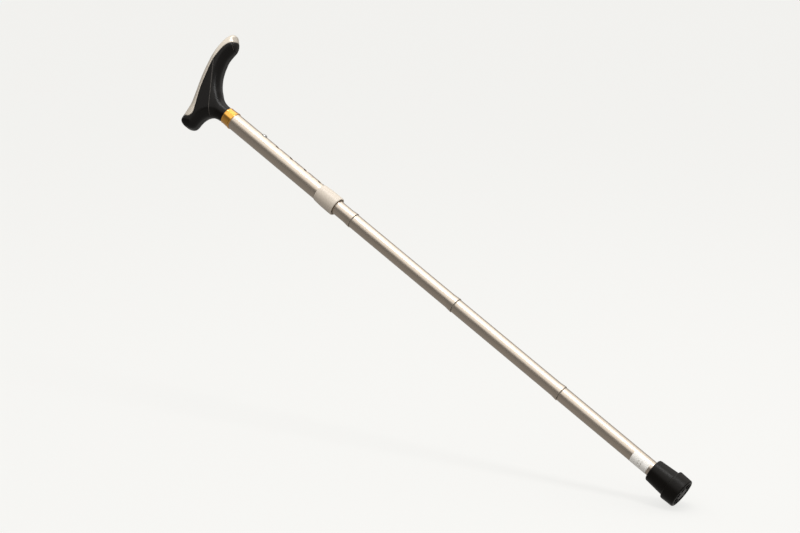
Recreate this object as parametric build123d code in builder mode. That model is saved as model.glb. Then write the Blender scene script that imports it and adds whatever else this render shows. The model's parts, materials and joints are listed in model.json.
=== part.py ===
from build123d import *
import os

# Folding walking cane, adjustable for height, with a moulded palm handle.
# Frame: Z runs up the shaft, X points to the front tip of the handle, Y goes across it.
# The origin is the centre of the rubber foot's underside. All sizes are in millimetres.

os.makedirs("parts", exist_ok=True)

# ---------------------------------------------------------------- driving dimensions
tube_d = 19.0  # sliding inner tube and the three folding sections
tube_wall = 1.2
slide_clearance = 0.3  # radial, inner tube in upper tube
fit_clearance = 0.05  # radial, pieces that stay put in each other
running_clearance = 0.1  # radial, guides that slide

lower_section_length = 187.3  # floor to the lowest rim
middle_section_length = 172.4
upper_section_length = 174.8
exposed_inner_length = 28.8  # upper rim to the lock nut, at the shortest setting

hole_pitch = 25.4
hole_count = 5
hole_clearance = 0.3  # radial, button in its hole
hole_angle = -10.0  # degrees round the shaft from the handle's front
first_hole_above_nut = 6.7
top_hole_to_ring = 47.2

nut_height = 31.0
nut_wall = 1.0
collet_wall = 0.55
nut_clearance = 0.15  # radial, nut on collet
nut_mouth_clearance = 1.4  # radial, nut's mouth round the inner tube

rim_flare = 0.8  # radial growth of each section's lower rim
rim_length = 9.0
joint_gap = 1.2  # between a rim and the tube below it
tenon_length = 45.0
tenon_clearance = 0.2
tenon_wall = 1.5
spigot_length = 4.0
spigot_clearance = 0.5

cord_d = 5.0
cord_clearance = 0.7

button_d = 7.6
button_stand_out = 1.6
button_flange_d = 10.0

ring_height = 13.7
ring_top_wall = 0.4
ring_bottom_wall = 0.95

handle_front = 87.0  # shaft axis to front tip
handle_rear = 45.8  # shaft axis to nose
handle_height = 69.4  # neck base to crown
handle_thickness = 30.0
neck_inset = 1.1  # the neck's foot stands this far inside the upper tube's outside
socket_wall = 1.9  # plastic round the core's stem at the neck's foot

foot_flange_wall = 9.6  # rubber round the tube at the flange
foot_flange_height = 18.0
foot_body_wall = 6.8  # rubber round the tube just above the flange
foot_top_wall = 4.75
foot_height = 44.8
foot_sole = 8.0  # rubber under the steel washer
washer_thickness = 1.2

label_height = 24.0
label_angle = 105.0
label_thickness = 0.12

# ---------------------------------------------------------------- sizes and levels that follow
tube_r = tube_d / 2
bore_r = tube_r - tube_wall
upper_bore_r = tube_r + slide_clearance
upper_r = upper_bore_r + tube_wall
cord_r = cord_d / 2
cord_hole_r = cord_r + cord_clearance
button_r = button_d / 2
hole_r = button_r + hole_clearance
collet_r = upper_r + fit_clearance + collet_wall
nut_bore_r = collet_r + nut_clearance
nut_r = nut_bore_r + nut_wall
nut_mouth_r = tube_r + nut_mouth_clearance
neck_r = upper_r - neck_inset
stem_r = neck_r - socket_wall
ring_bore_r = upper_r + fit_clearance
ring_top_r = ring_bore_r + ring_top_wall
ring_bottom_r = ring_bore_r + ring_bottom_wall
foot_top_r = tube_r + foot_top_wall
foot_body_r = tube_r + foot_body_wall
flange_r = tube_r + foot_flange_wall

lower_rim_z = lower_section_length
middle_rim_z = lower_rim_z + middle_section_length
upper_rim_z = middle_rim_z + upper_section_length
nut_z = upper_rim_z + exposed_inner_length
nut_top_z = nut_z + nut_height
first_hole_z = nut_top_z + first_hole_above_nut
button_z = first_hole_z + (hole_count - 1) * hole_pitch
slide_travel = (hole_count - 1) * hole_pitch
inner_top_z = button_z + 23.0
core_bottom_z = inner_top_z + 5.0
ring_z = button_z + top_hole_to_ring
neck_z = ring_z + ring_height
upper_top_z = neck_z - 5.5
tube_foot_z = foot_sole + washer_thickness

# Planes of the snap holes, the button and its spring, turned round the shaft.
button_face = Plane.YZ.rotated((0, 0, hole_angle))
spring_face = Plane.XZ.rotated((0, 0, hole_angle))


# Neighbouring tubes lie side by side when folded. The pivots stand off the shaft's axis far enough
# for the foot's flange to clear a rim or the lock nut on the tube beside it.
fold_clearance = 0.6
pivot_offset = (flange_r + max(tube_r + rim_flare, upper_r, nut_r) + fold_clearance) / 2


def turned(points):
    """Solid of revolution about Z from (radius, height) points, in order."""
    with BuildPart() as solid:
        with BuildSketch(Plane.XZ):
            with BuildLine():
                Polyline(*points, close=True)
            make_face()
        revolve(axis=Axis.Z)
    return solid.part


def save(builder, label):
    """Label a finished piece and write its STEP file."""
    builder.part.label = label
    export_step(builder.part, f"parts/{label}.step")


# ---------------------------------------------------------------- handle
top_z = neck_z + handle_height
half_thickness = handle_thickness / 2

# Sections across the arm: place along X, underside and top above the neck base, half width.
arm_sections = [
    (-handle_rear, 27.5, 40.0, half_thickness - 6.0),
    (-handle_rear + 3.5, 22.6, 42.8, half_thickness - 3.0),
    (-handle_rear + 13, 21.4, 43.7, half_thickness - 1.2),
    (-14, 21.3, 47.0, half_thickness - 0.4),
    (4, 25.7, 54.2, half_thickness),
    (21.5, 32.0, 60.8, half_thickness),
    (40, 43.2, 66.1, half_thickness),
    (57, 48.4, handle_height, half_thickness - 0.3),
    (handle_front - 16, 47.6, handle_height, half_thickness - 0.8),
    (handle_front - 7, 51.0, handle_height - 1.4, half_thickness - 2.0),
    (handle_front, 59.2, handle_height - 5.0, half_thickness - 6.0),
]
# Sections across the neck: height above its base, centre along X, half length in X, half width.
neck_sections = [
    (0, 0, neck_r, neck_r),
    (12.7, -1.2, neck_r + 2.9, neck_r + 2.3),
    (20.2, -4.2, neck_r + 8.9, half_thickness - 1.4),
    (28, -5.4, neck_r + 15.2, half_thickness - 0.8),
]

with BuildPart() as handle_blank:
    for place, low, high, half_width in arm_sections:
        with BuildSketch(Plane.YZ.offset(place)):
            with Locations((0, neck_z + (low + high) / 2)):
                RectangleRounded(2 * half_width, high - low, min(half_width, (high - low) / 2) * 0.72)
    loft()
    for height, centre, half_length, half_width in neck_sections:
        with BuildSketch(Plane.XY.offset(neck_z + height)):
            with Locations((centre, 0)):
                Ellipse(half_length, half_width)
    loft()

# The inlay is all of the blank above this line, which runs from behind the nose to the tip.
# Places along X and heights above the neck base.
inlay_edge = [
    (-handle_rear + 10, 46.0),
    (-handle_rear + 12, 38.0),
    (-handle_rear + 15, 34.6),
    (-handle_rear + 20, 33.6),
    (-14, 38.6),
    (4, 47.3),
    (21.5, 53.6),
    (40, 59.4),
    (57, 61.0),
    (handle_front - 16, 59.3),
    (handle_front - 7, 53.9),
    (handle_front + 1, 47.4),
]
inlay_line = [(place, neck_z + height) for place, height in inlay_edge]

with BuildPart() as inlay_zone:
    with BuildSketch(Plane.XZ):
        with BuildLine():
            Spline(*inlay_line)
            Polyline(
                inlay_line[-1],
                (handle_front + 1, top_z + 5),
                (-handle_rear + 10, top_z + 5),
                inlay_line[0],
            )
        make_face()
    extrude(amount=handle_thickness, both=True)

cap_top = (handle_front - 11.2, top_z - 9.4)
cap_middle = (handle_front - 15.8, top_z - 18.9)
cap_bottom = (handle_front - 19.2, top_z - 27.4)

with BuildPart() as cap_zone:
    with BuildSketch(Plane.XZ):
        with BuildLine():
            ThreePointArc(cap_top, cap_middle, cap_bottom)
            Polyline(
                cap_bottom,
                (handle_front + 1, cap_bottom[1]),
                (handle_front + 1, top_z + 5),
                (cap_top[0] + 1.5, top_z + 5),
                cap_top,
            )
        make_face()
    extrude(amount=handle_thickness, both=True)

with BuildPart() as handle_top_inlay:
    add(handle_blank.part)
    add(inlay_zone.part, mode=Mode.INTERSECT)
save(handle_top_inlay, "handle_top_inlay")

with BuildPart() as handle_tip_cap:
    add(handle_blank.part)
    add(cap_zone.part, mode=Mode.INTERSECT)
    add(inlay_zone.part, mode=Mode.SUBTRACT)
save(handle_tip_cap, "handle_tip_cap")

# The core is a dowel in the upper tube whose stem stands in the grip's socket.
seat_z = upper_top_z + 0.3
core_r = upper_bore_r - fit_clearance
stem_top_z = neck_z + 24.0
screw_r = 2.5
screw_head_r = 4.6
screw_head_height = 3.0
screw_seat_z = core_bottom_z + 12.0
screw_top_z = stem_top_z + 12.0
washer_height = 1.0
rivet_r = 1.6
rivet_z = (ring_z + upper_top_z) / 2

with BuildPart() as handle_grip:
    add(handle_blank.part)
    add(inlay_zone.part, mode=Mode.SUBTRACT)
    add(cap_zone.part, mode=Mode.SUBTRACT)
    # Round seat inside the neck ring, on the upper tube's end.
    with BuildSketch(Plane.XY.offset(seat_z)):
        Circle(neck_r)
    extrude(amount=neck_z - seat_z)
    with BuildSketch(Plane.XY.offset(seat_z)):
        Circle(stem_r + fit_clearance)
    extrude(amount=stem_top_z + 0.5 - seat_z, mode=Mode.SUBTRACT)
    with BuildSketch(Plane.XY.offset(stem_top_z)):
        Circle(screw_r + fit_clearance)
    extrude(amount=screw_top_z + 0.5 - stem_top_z, mode=Mode.SUBTRACT)
save(handle_grip, "handle_grip")

with BuildPart() as handle_core:
    with BuildSketch(Plane.XY.offset(core_bottom_z)):
        Circle(core_r)
    extrude(amount=upper_top_z - core_bottom_z)
    with BuildSketch(Plane.XY.offset(upper_top_z)):
        Circle(stem_r)
    extrude(amount=stem_top_z - upper_top_z)
    chamfer(handle_core.faces().sort_by(Axis.Z)[-1].edges(), length=0.8)
    with BuildSketch(Plane.XY.offset(core_bottom_z)):
        Circle(screw_head_r + 0.6)
    extrude(amount=screw_seat_z - core_bottom_z, mode=Mode.SUBTRACT)
    with BuildSketch(Plane.XY.offset(screw_seat_z)):
        Circle(screw_r + 0.2)
    extrude(amount=stem_top_z - screw_seat_z, mode=Mode.SUBTRACT)
    with BuildSketch(Plane.XZ):
        with Locations((0, rivet_z)):
            Circle(rivet_r + fit_clearance)
    extrude(amount=core_r + 1, both=True, mode=Mode.SUBTRACT)
save(handle_core, "handle_core")

with BuildPart() as handle_washer:
    with BuildSketch(Plane.XY.offset(screw_seat_z - washer_height)):
        Circle(screw_head_r + 0.4)
        Circle(screw_r + 0.3, mode=Mode.SUBTRACT)
    extrude(amount=washer_height)
save(handle_washer, "handle_washer")

head_top_z = screw_seat_z - washer_height
with BuildPart() as handle_screw:
    with BuildSketch(Plane.XY.offset(head_top_z - screw_head_height)):
        Circle(screw_head_r)
    extrude(amount=screw_head_height)
    fillet(handle_screw.faces().sort_by(Axis.Z)[0].edges(), radius=0.8)
    with BuildSketch(Plane.XY.offset(head_top_z)):
        Circle(screw_r)
    extrude(amount=screw_top_z - head_top_z)
    with BuildSketch(Plane.XY.offset(head_top_z - screw_head_height)):
        Rectangle(5.0, 1.0)
        Rectangle(1.0, 5.0)
    extrude(amount=1.6, mode=Mode.SUBTRACT)
save(handle_screw, "handle_screw")

with BuildPart() as neck_rivets:
    for side in (1, -1):
        with BuildSketch(Plane.XZ.offset(side * (screw_r + 1.2))):
            with Locations((0, rivet_z)):
                Circle(rivet_r)
        extrude(amount=side * (upper_r - screw_r - 1.4))
save(neck_rivets, "neck_rivets")

with BuildPart() as neck_ring:
    add(
        turned(
            [
                (ring_bore_r, ring_z),
                (ring_bottom_r - 0.4, ring_z),
                (ring_bottom_r, ring_z + 0.4),
                (ring_bottom_r, ring_z + 1.4),
                (ring_bottom_r - 0.35, ring_z + 1.8),
                (ring_top_r - 0.15, neck_z - 1.8),
                (ring_top_r + 0.15, neck_z - 1.4),
                (ring_top_r + 0.15, neck_z - 0.4),
                (ring_top_r - 0.3, neck_z),
                (neck_r + 0.1, neck_z),
                (neck_r + 0.1, upper_top_z + 0.05),
                (ring_bore_r, upper_top_z + 0.05),
            ]
        )
    )
save(neck_ring, "neck_ring")

# ---------------------------------------------------------------- upper tube, collet and lock nut
collet_z = nut_z + 4.6
collet_grip = 14.0  # length of the collet's sleeve over the tube
upper_bottom_z = nut_top_z - 3.0 - collet_grip
thread_pitch = 1.5
nut_turn = 270.0  # degrees from tight to free
nut_travel = thread_pitch * nut_turn / 360
print(f"lock nut travel {nut_travel:.4f} mm over {nut_turn:.0f} degrees")

with BuildPart() as upper_tube:
    with BuildSketch(Plane.XY.offset(upper_bottom_z)):
        Circle(upper_r)
        Circle(upper_bore_r, mode=Mode.SUBTRACT)
    extrude(amount=upper_top_z - upper_bottom_z)
    # Snap holes face the front of the handle, turned a little to its right.
    with BuildSketch(button_face):
        for index in range(hole_count):
            with Locations((0, first_hole_z + index * hole_pitch)):
                Circle(hole_r)
    extrude(amount=upper_r + 1, mode=Mode.SUBTRACT)
    with BuildSketch(Plane.XZ):
        with Locations((0, rivet_z)):
            Circle(rivet_r + fit_clearance)
    extrude(amount=upper_r + 1, both=True, mode=Mode.SUBTRACT)
save(upper_tube, "upper_tube")

finger_bore_r = tube_r + running_clearance
finger_cone = 1.0
finger_count = 6
with BuildPart() as collet:
    add(
        turned(
            [
                (finger_bore_r, collet_z),
                (collet_r - finger_cone, collet_z),
                (collet_r, collet_z + finger_cone),
                (collet_r, nut_top_z - 3.0),
                (upper_r + fit_clearance, nut_top_z - 3.0),
                (upper_r + fit_clearance, upper_bottom_z - 0.1),
                (finger_bore_r, upper_bottom_z - 0.1),
            ]
        )
    )
    with BuildSketch(Plane.XY.offset(collet_z)):
        with PolarLocations(upper_r, finger_count):
            Rectangle(5.0, 1.2)
    extrude(amount=upper_bottom_z - 2.0 - collet_z, mode=Mode.SUBTRACT)
save(collet, "collet")

# The wedge ring's inner cone closes the collet's fingers. It sits on the nut's lip.
wedge_clearance = 0.15
nut_lip = 1.5
wedge_z = nut_z + nut_lip + 0.1
with BuildPart() as wedge_ring:
    add(
        turned(
            [
                (finger_bore_r + 0.1, wedge_z),
                (collet_r, wedge_z),
                (collet_r, collet_z + 0.2),
                (collet_r - 0.45, collet_z + 0.2),
                (collet_r - finger_cone - wedge_clearance, collet_z - 0.5),
                (finger_bore_r + 0.1, collet_z - 0.5),
            ]
        )
    )
save(wedge_ring, "wedge_ring")

with BuildPart() as lock_nut:
    with BuildSketch(Plane.XZ):
        with BuildLine():
            Line((nut_mouth_r, nut_z + 0.5), (nut_mouth_r + 0.5, nut_z))
            Line((nut_mouth_r + 0.5, nut_z), (nut_r - 0.9, nut_z))
            ThreePointArc((nut_r - 0.9, nut_z), (nut_r - 0.36, nut_z + 0.24), (nut_r - 0.1, nut_z + 0.9))
            Line((nut_r - 0.1, nut_z + 0.9), (nut_r, nut_z + nut_height * 0.3))
            Spline(
                (nut_r, nut_z + nut_height * 0.3),
                (nut_r - 0.25, nut_z + nut_height * 0.68),
                (upper_r + 0.75, nut_top_z - 0.7),
                tangents=[(0, 1), (-0.3, 1)],
            )
            Line((upper_r + 0.75, nut_top_z - 0.7), (upper_r + 0.3, nut_top_z))
            Line((upper_r + 0.3, nut_top_z), (upper_r + 0.15, nut_top_z))
            Line((upper_r + 0.15, nut_top_z), (upper_r + 0.15, nut_top_z - 1.2))
            Line((upper_r + 0.15, nut_top_z - 1.2), (nut_bore_r, nut_top_z - 1.6))
            Line((nut_bore_r, nut_top_z - 1.6), (nut_bore_r, nut_z + nut_lip))
            Line((nut_bore_r, nut_z + nut_lip), (nut_mouth_r, nut_z + nut_lip))
            Line((nut_mouth_r, nut_z + nut_lip), (nut_mouth_r, nut_z + 0.5))
        make_face()
    revolve(axis=Axis.Z)
save(lock_nut, "lock_nut")

# ---------------------------------------------------------------- tubes with a flared lower rim


def rimmed_tube(rim_z, tube_top_z):
    """Tube whose lower end flares into a rim at rim_z."""
    return turned(
        [
            (bore_r, tube_top_z),
            (tube_r - 0.3, tube_top_z),
            (tube_r, tube_top_z - 0.3),
            (tube_r, rim_z + rim_length),
            (tube_r + rim_flare, rim_z + 0.8),
            (tube_r + rim_flare, rim_z),
            (bore_r + rim_flare, rim_z),
            (bore_r, rim_z + rim_length),
        ]
    )


anchor_z = upper_rim_z + joint_gap + tenon_length + 18.0
anchor_height = 12.0
pin_r = 1.5
with BuildPart() as inner_tube:
    add(rimmed_tube(upper_rim_z, inner_top_z))
    with BuildSketch(button_face):
        with Locations((0, button_z)):
            Circle(button_r + hole_clearance / 2)
    extrude(amount=tube_r + 1, mode=Mode.SUBTRACT)
    with BuildSketch(Plane.XZ):
        with Locations((0, anchor_z + anchor_height / 2)):
            Circle(pin_r + fit_clearance)
    extrude(amount=tube_r + 1, both=True, mode=Mode.SUBTRACT)
save(inner_tube, "inner_tube")

with BuildPart() as upper_section_tube:
    add(rimmed_tube(middle_rim_z, upper_rim_z - joint_gap))
save(upper_section_tube, "upper_section_tube")

with BuildPart() as middle_section_tube:
    add(rimmed_tube(lower_rim_z, middle_rim_z - joint_gap))
save(middle_section_tube, "middle_section_tube")

with BuildPart() as lower_section_tube:
    with BuildSketch(Plane.XY.offset(tube_foot_z)):
        Circle(tube_r)
        Circle(bore_r, mode=Mode.SUBTRACT)
    extrude(amount=lower_rim_z - joint_gap - tube_foot_z)
    chamfer(lower_section_tube.faces().sort_by(Axis.Z)[-1].edges().sort_by(SortBy.LENGTH)[-1], length=0.3)
save(lower_section_tube, "lower_section_tube")

# ---------------------------------------------------------------- tenons and their eyelets
tenon_r = bore_r - tenon_clearance
tenon_bore_r = tenon_r - tenon_wall
collar_r = tube_r - 0.5
face_gap = 0.1
spigot_r = bore_r - spigot_clearance
eyelet_depth = 7.0
eyelet_cap = 1.2

for name, rim_z in (("upper", upper_rim_z), ("middle", middle_rim_z), ("lower", lower_rim_z)):
    collar_top = rim_z - face_gap
    collar_bottom = rim_z - joint_gap + face_gap
    tenon_top = rim_z + tenon_length
    with BuildPart() as tenon:
        add(
            turned(
                [
                    (tenon_bore_r, collar_bottom - spigot_length),
                    (spigot_r - 0.5, collar_bottom - spigot_length),
                    (spigot_r, collar_bottom - spigot_length + 0.8),
                    (spigot_r, collar_bottom),
                    (collar_r, collar_bottom),
                    (collar_r, collar_top),
                    (tenon_r, collar_top),
                    (tenon_r, tenon_top - 1.0),
                    (tenon_r - 0.6, tenon_top),
                    (tenon_bore_r, tenon_top),
                ]
            )
        )
    save(tenon, f"{name}_tenon")

    with BuildPart() as eyelet:
        add(
            turned(
                [
                    (cord_hole_r + 1.2, tenon_top - eyelet_depth),
                    (tenon_bore_r - fit_clearance, tenon_top - eyelet_depth),
                    (tenon_bore_r - fit_clearance, tenon_top),
                    (tenon_r - 0.6, tenon_top),
                    (tenon_r - 0.8, tenon_top + eyelet_cap),
                    (cord_hole_r + 1.2, tenon_top + eyelet_cap),
                    (cord_hole_r, tenon_top),
                    (cord_hole_r, tenon_top - eyelet_depth + 1.2),
                ]
            )
        )
    save(eyelet, f"{name}_eyelet")

# ---------------------------------------------------------------- snap button and its spring
guide_cap = 1.6
guide_depth = 9.0
with BuildPart() as guide_bush:
    add(
        turned(
            [
                (bore_r - 2.5, inner_top_z - guide_depth),
                (bore_r - fit_clearance, inner_top_z - guide_depth),
                (bore_r - fit_clearance, inner_top_z + 0.02),
                (upper_bore_r - running_clearance, inner_top_z + 0.02),
                (upper_bore_r - running_clearance, inner_top_z + guide_cap - 0.4),
                (upper_bore_r - running_clearance - 0.4, inner_top_z + guide_cap),
                (bore_r - 2.5, inner_top_z + guide_cap),
            ]
        )
    )
save(guide_bush, "guide_bush")

button_tip_x = upper_r + button_stand_out
spring_thickness = 0.5
spring_width = 7.0
spring_drop = 17.0
flange_thickness = 1.0
# The spring's legs stand where the tube's bore is as wide as the spring.
leg_x = (bore_r**2 - (max(spring_width, button_flange_d) / 2 + 0.2) ** 2) ** 0.5 - flange_thickness
button_travel = button_tip_x - (upper_bore_r - 0.2)
print(f"button travel {button_travel:.2f} mm")

with BuildPart() as snap_button:
    with BuildSketch(button_face.offset(leg_x)):
        with Locations((0, button_z)):
            Circle(button_flange_d / 2)
    extrude(amount=flange_thickness)
    with BuildSketch(button_face.offset(leg_x)):
        with Locations((0, button_z)):
            Circle(button_r)
    extrude(amount=button_tip_x - leg_x)
    fillet(snap_button.faces().sort_by(Axis.X)[-1].edges(), radius=button_stand_out)
save(snap_button, "snap_button")

spring_outer_x = leg_x - 0.05
spring_inner_x = spring_outer_x - spring_thickness
bend_z = button_z - spring_drop
with BuildPart() as button_spring:
    with BuildSketch(spring_face):
        with BuildLine():
            Line((spring_outer_x, button_z + 5), (spring_outer_x, bend_z))
            RadiusArc((spring_outer_x, bend_z), (-spring_outer_x, bend_z), spring_outer_x)
            Line((-spring_outer_x, bend_z), (-spring_outer_x, button_z + 7))
            Line((-spring_outer_x, button_z + 7), (-spring_inner_x, button_z + 7))
            Line((-spring_inner_x, button_z + 7), (-spring_inner_x, bend_z))
            RadiusArc((-spring_inner_x, bend_z), (spring_inner_x, bend_z), -spring_inner_x)
            Line((spring_inner_x, bend_z), (spring_inner_x, button_z + 5))
            Line((spring_inner_x, button_z + 5), (spring_outer_x, button_z + 5))
        make_face()
    extrude(amount=spring_width / 2, both=True)
save(button_spring, "button_spring")

# ---------------------------------------------------------------- elastic cord and what holds it
stop_r = cord_r + 1.8
stop_height = 8.0

with BuildPart() as cord_anchor:
    with BuildSketch(Plane.XY.offset(anchor_z)):
        Circle(bore_r - fit_clearance)
        Circle(cord_hole_r, mode=Mode.SUBTRACT)
    extrude(amount=anchor_height)
    for side in (1, -1):
        with BuildSketch(Plane.XZ.offset(side * (cord_hole_r + 0.4))):
            with Locations((0, anchor_z + anchor_height / 2)):
                Circle(pin_r + fit_clearance)
        extrude(amount=side * bore_r, mode=Mode.SUBTRACT)
save(cord_anchor, "cord_anchor")

with BuildPart() as anchor_pins:
    for side in (1, -1):
        with BuildSketch(Plane.XZ.offset(side * (cord_hole_r + 0.6))):
            with Locations((0, anchor_z + anchor_height / 2)):
                Circle(pin_r)
        extrude(amount=side * (tube_r - 0.1 - cord_hole_r - 0.6))
save(anchor_pins, "anchor_pins")

top_stop_z = anchor_z + anchor_height + 0.05
plug_top_z = tube_foot_z + 22.0
plug_recess = 10.0
foot_stop_top_z = tube_foot_z + 0.5 + plug_recess - 0.05
foot_stop_z = foot_stop_top_z - stop_height

with BuildPart() as foot_plug:
    add(
        turned(
            [
                (stop_r + 0.4, tube_foot_z + 0.5),
                (bore_r - fit_clearance, tube_foot_z + 0.5),
                (bore_r - fit_clearance, plug_top_z - 1.0),
                (bore_r - 1.0, plug_top_z),
                (cord_hole_r, plug_top_z),
                (cord_hole_r, tube_foot_z + 0.5 + plug_recess),
                (stop_r + 0.4, tube_foot_z + 0.5 + plug_recess),
            ]
        )
    )
save(foot_plug, "foot_plug")

for label, level in (("top_cord_stop", top_stop_z), ("foot_cord_stop", foot_stop_z)):
    with BuildPart() as cord_stop:
        with BuildSketch(Plane.XY.offset(level)):
            Circle(stop_r)
            Circle(cord_r + fit_clearance, mode=Mode.SUBTRACT)
        extrude(amount=stop_height)
    save(cord_stop, label)

with BuildPart() as shock_cord:
    with BuildSketch(Plane.XY.offset(foot_stop_z - 0.3)):
        Circle(cord_r)
    extrude(amount=top_stop_z + stop_height + 0.6 - foot_stop_z)
save(shock_cord, "shock_cord")

# ---------------------------------------------------------------- rubber foot and label
foot_bore_r = tube_r + 0.02
groove_depth = 2.2
groove_inner_r = flange_r * 0.42
groove_outer_r = flange_r * 0.8
web_count = 8
web_width = 2.2
with BuildPart() as ferrule:
    with BuildSketch(Plane.XZ):
        with BuildLine():
            Polyline((0, 0), (flange_r - 1.6, 0), (flange_r - 0.6, 1.0), (flange_r, foot_flange_height - 1.5))
            ThreePointArc(
                (flange_r, foot_flange_height - 1.5),
                (flange_r - 0.44, foot_flange_height - 0.44),
                (flange_r - 1.5, foot_flange_height),
            )
            Polyline(
                (flange_r - 1.5, foot_flange_height),
                (foot_body_r, foot_flange_height + 0.6),
                (foot_top_r, foot_height - 1.2),
                (foot_top_r - 1.2, foot_height),
                (foot_bore_r, foot_height),
                (foot_bore_r, tube_foot_z - 0.02),
                (foot_bore_r, foot_sole),
                (0, foot_sole),
                (0, 0),
            )
        make_face()
    revolve(axis=Axis.Z)
    with BuildSketch(Plane.XY):
        Circle(groove_outer_r)
        Circle(groove_inner_r, mode=Mode.SUBTRACT)
        with PolarLocations((groove_inner_r + groove_outer_r) / 2, web_count):
            Rectangle(groove_outer_r - groove_inner_r + 2, web_width, mode=Mode.SUBTRACT)
    extrude(amount=groove_depth, mode=Mode.SUBTRACT)
save(ferrule, "ferrule")

with BuildPart() as foot_washer:
    with BuildSketch(Plane.XY.offset(foot_sole + 0.02)):
        Circle(tube_r - 0.1)
    extrude(amount=washer_thickness - 0.04)
save(foot_washer, "foot_washer")

# The label wraps part of the way round the lowest tube, on the side away from the handle's tip.
label_z = foot_height + 4.0
label_centre_angle = 237.0
label_r = tube_r + 0.02
with BuildPart() as size_label:
    start = Plane(origin=(0, 0, 0), x_dir=Vector(1, 0, 0), z_dir=Vector(0, -1, 0))
    with BuildSketch(start.rotated((0, 0, label_centre_angle - label_angle / 2))):
        with Locations((label_r + label_thickness / 2, label_z + label_height / 2)):
            Rectangle(label_thickness, label_height)
    revolve(axis=Axis.Z, revolution_arc=label_angle)
save(size_label, "size_label")

# ---------------------------------------------------------------- joint values for the record
print(f"fold pivots at y = {pivot_offset:.2f} from the axis")
print(f"rims at {lower_rim_z}, {middle_rim_z}, {upper_rim_z}; slide travel {slide_travel:.1f}")
print(f"button at {button_z:.1f}, ring {ring_z:.1f} to {neck_z:.1f}, crown {top_z:.1f}")
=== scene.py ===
"""Folding walking cane with a moulded palm handle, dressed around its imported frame.

Lengths inside the classes are millimetres, and meshes are written in metres. Z runs up the
shaft, X points to the front tip of the handle and Y goes across it.
"""

from __future__ import annotations

import json
import logging
import math
from dataclasses import dataclass, field
from enum import Enum
from typing import Callable, Sequence

import bmesh
import bpy
import numpy as np
from mathutils import Matrix, Vector

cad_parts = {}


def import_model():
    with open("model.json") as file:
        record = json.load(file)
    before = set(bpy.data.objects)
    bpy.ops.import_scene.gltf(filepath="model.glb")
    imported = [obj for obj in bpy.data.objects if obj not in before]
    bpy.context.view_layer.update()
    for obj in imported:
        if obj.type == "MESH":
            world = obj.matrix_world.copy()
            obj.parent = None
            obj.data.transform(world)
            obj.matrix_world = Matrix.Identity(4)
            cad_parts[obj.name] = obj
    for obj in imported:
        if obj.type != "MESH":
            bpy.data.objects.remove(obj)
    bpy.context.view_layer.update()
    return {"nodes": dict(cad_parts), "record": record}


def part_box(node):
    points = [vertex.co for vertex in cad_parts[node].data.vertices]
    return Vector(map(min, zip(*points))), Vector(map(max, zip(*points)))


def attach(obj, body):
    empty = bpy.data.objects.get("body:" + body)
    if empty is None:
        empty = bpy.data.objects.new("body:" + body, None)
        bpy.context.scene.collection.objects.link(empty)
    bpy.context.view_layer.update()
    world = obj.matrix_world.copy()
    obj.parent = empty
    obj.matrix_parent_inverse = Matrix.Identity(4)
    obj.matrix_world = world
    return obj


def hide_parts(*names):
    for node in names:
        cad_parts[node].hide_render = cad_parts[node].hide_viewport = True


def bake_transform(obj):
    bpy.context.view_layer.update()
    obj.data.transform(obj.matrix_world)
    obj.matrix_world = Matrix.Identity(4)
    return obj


LOG = logging.getLogger("cane")
MM = 0.001
AROUND = 96  # faces round a tube
RELAX_STEPS = 4  # moves that draw a meshed surface onto its field
PROBE = 0.05  # reach of a slope's sample on each side
SUPPORT = 1.2  # place of the extra point beside a rounding, as a share of its reach
Point = tuple[float, float]
Corner = tuple[float, float, float]
Mesh = tuple[np.ndarray, list[list[int]]]


# ------------------------------------------------------------------ nodes and colours
def add_node(tree: bpy.types.NodeTree, kind: str, inputs: dict | None = None, **settings) -> bpy.types.Node:
    """Adds one node with its settings, values and links.

    Args:
        tree: Node tree that gets the node.
        kind: Type name of the node.
        inputs: Socket name or index, and either a value or the output socket it is linked to.
        settings: Properties of the node.

    Returns:
        The new node.
    """
    node = tree.nodes.new(kind)
    for name, value in settings.items():
        setattr(node, name, value)
    for name, value in (inputs or {}).items():
        if isinstance(value, bpy.types.NodeSocket):
            tree.links.new(value, node.inputs[name])
        else:
            node.inputs[name].default_value = value
    return node


def linear(code: str) -> tuple[float, float, float, float]:
    """Linear colour with full alpha from an sRGB hex value such as "C9C0B2"."""
    parts = [int(code[i : i + 2], 16) / 255 for i in (0, 2, 4)]
    red, green, blue = (c / 12.92 if c <= 0.04045 else ((c + 0.055) / 1.055) ** 2.4 for c in parts)
    return red, green, blue, 1.0


class Pattern(Enum):
    """How a surface was worked. The value is how the fine pattern is stretched along X, Y and Z."""

    DRAWN = (1.0, 1.0, 0.003)
    TURNED = (0.02, 0.02, 1.0)
    BRUSHED = (1.0, 0.03, 1.0)
    MOULDED = (1.0, 1.0, 1.0)
    BRAIDED = (0.0, 0.0, 0.0)
    PRINTED = (0.9, 1.1, 1.0)


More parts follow.
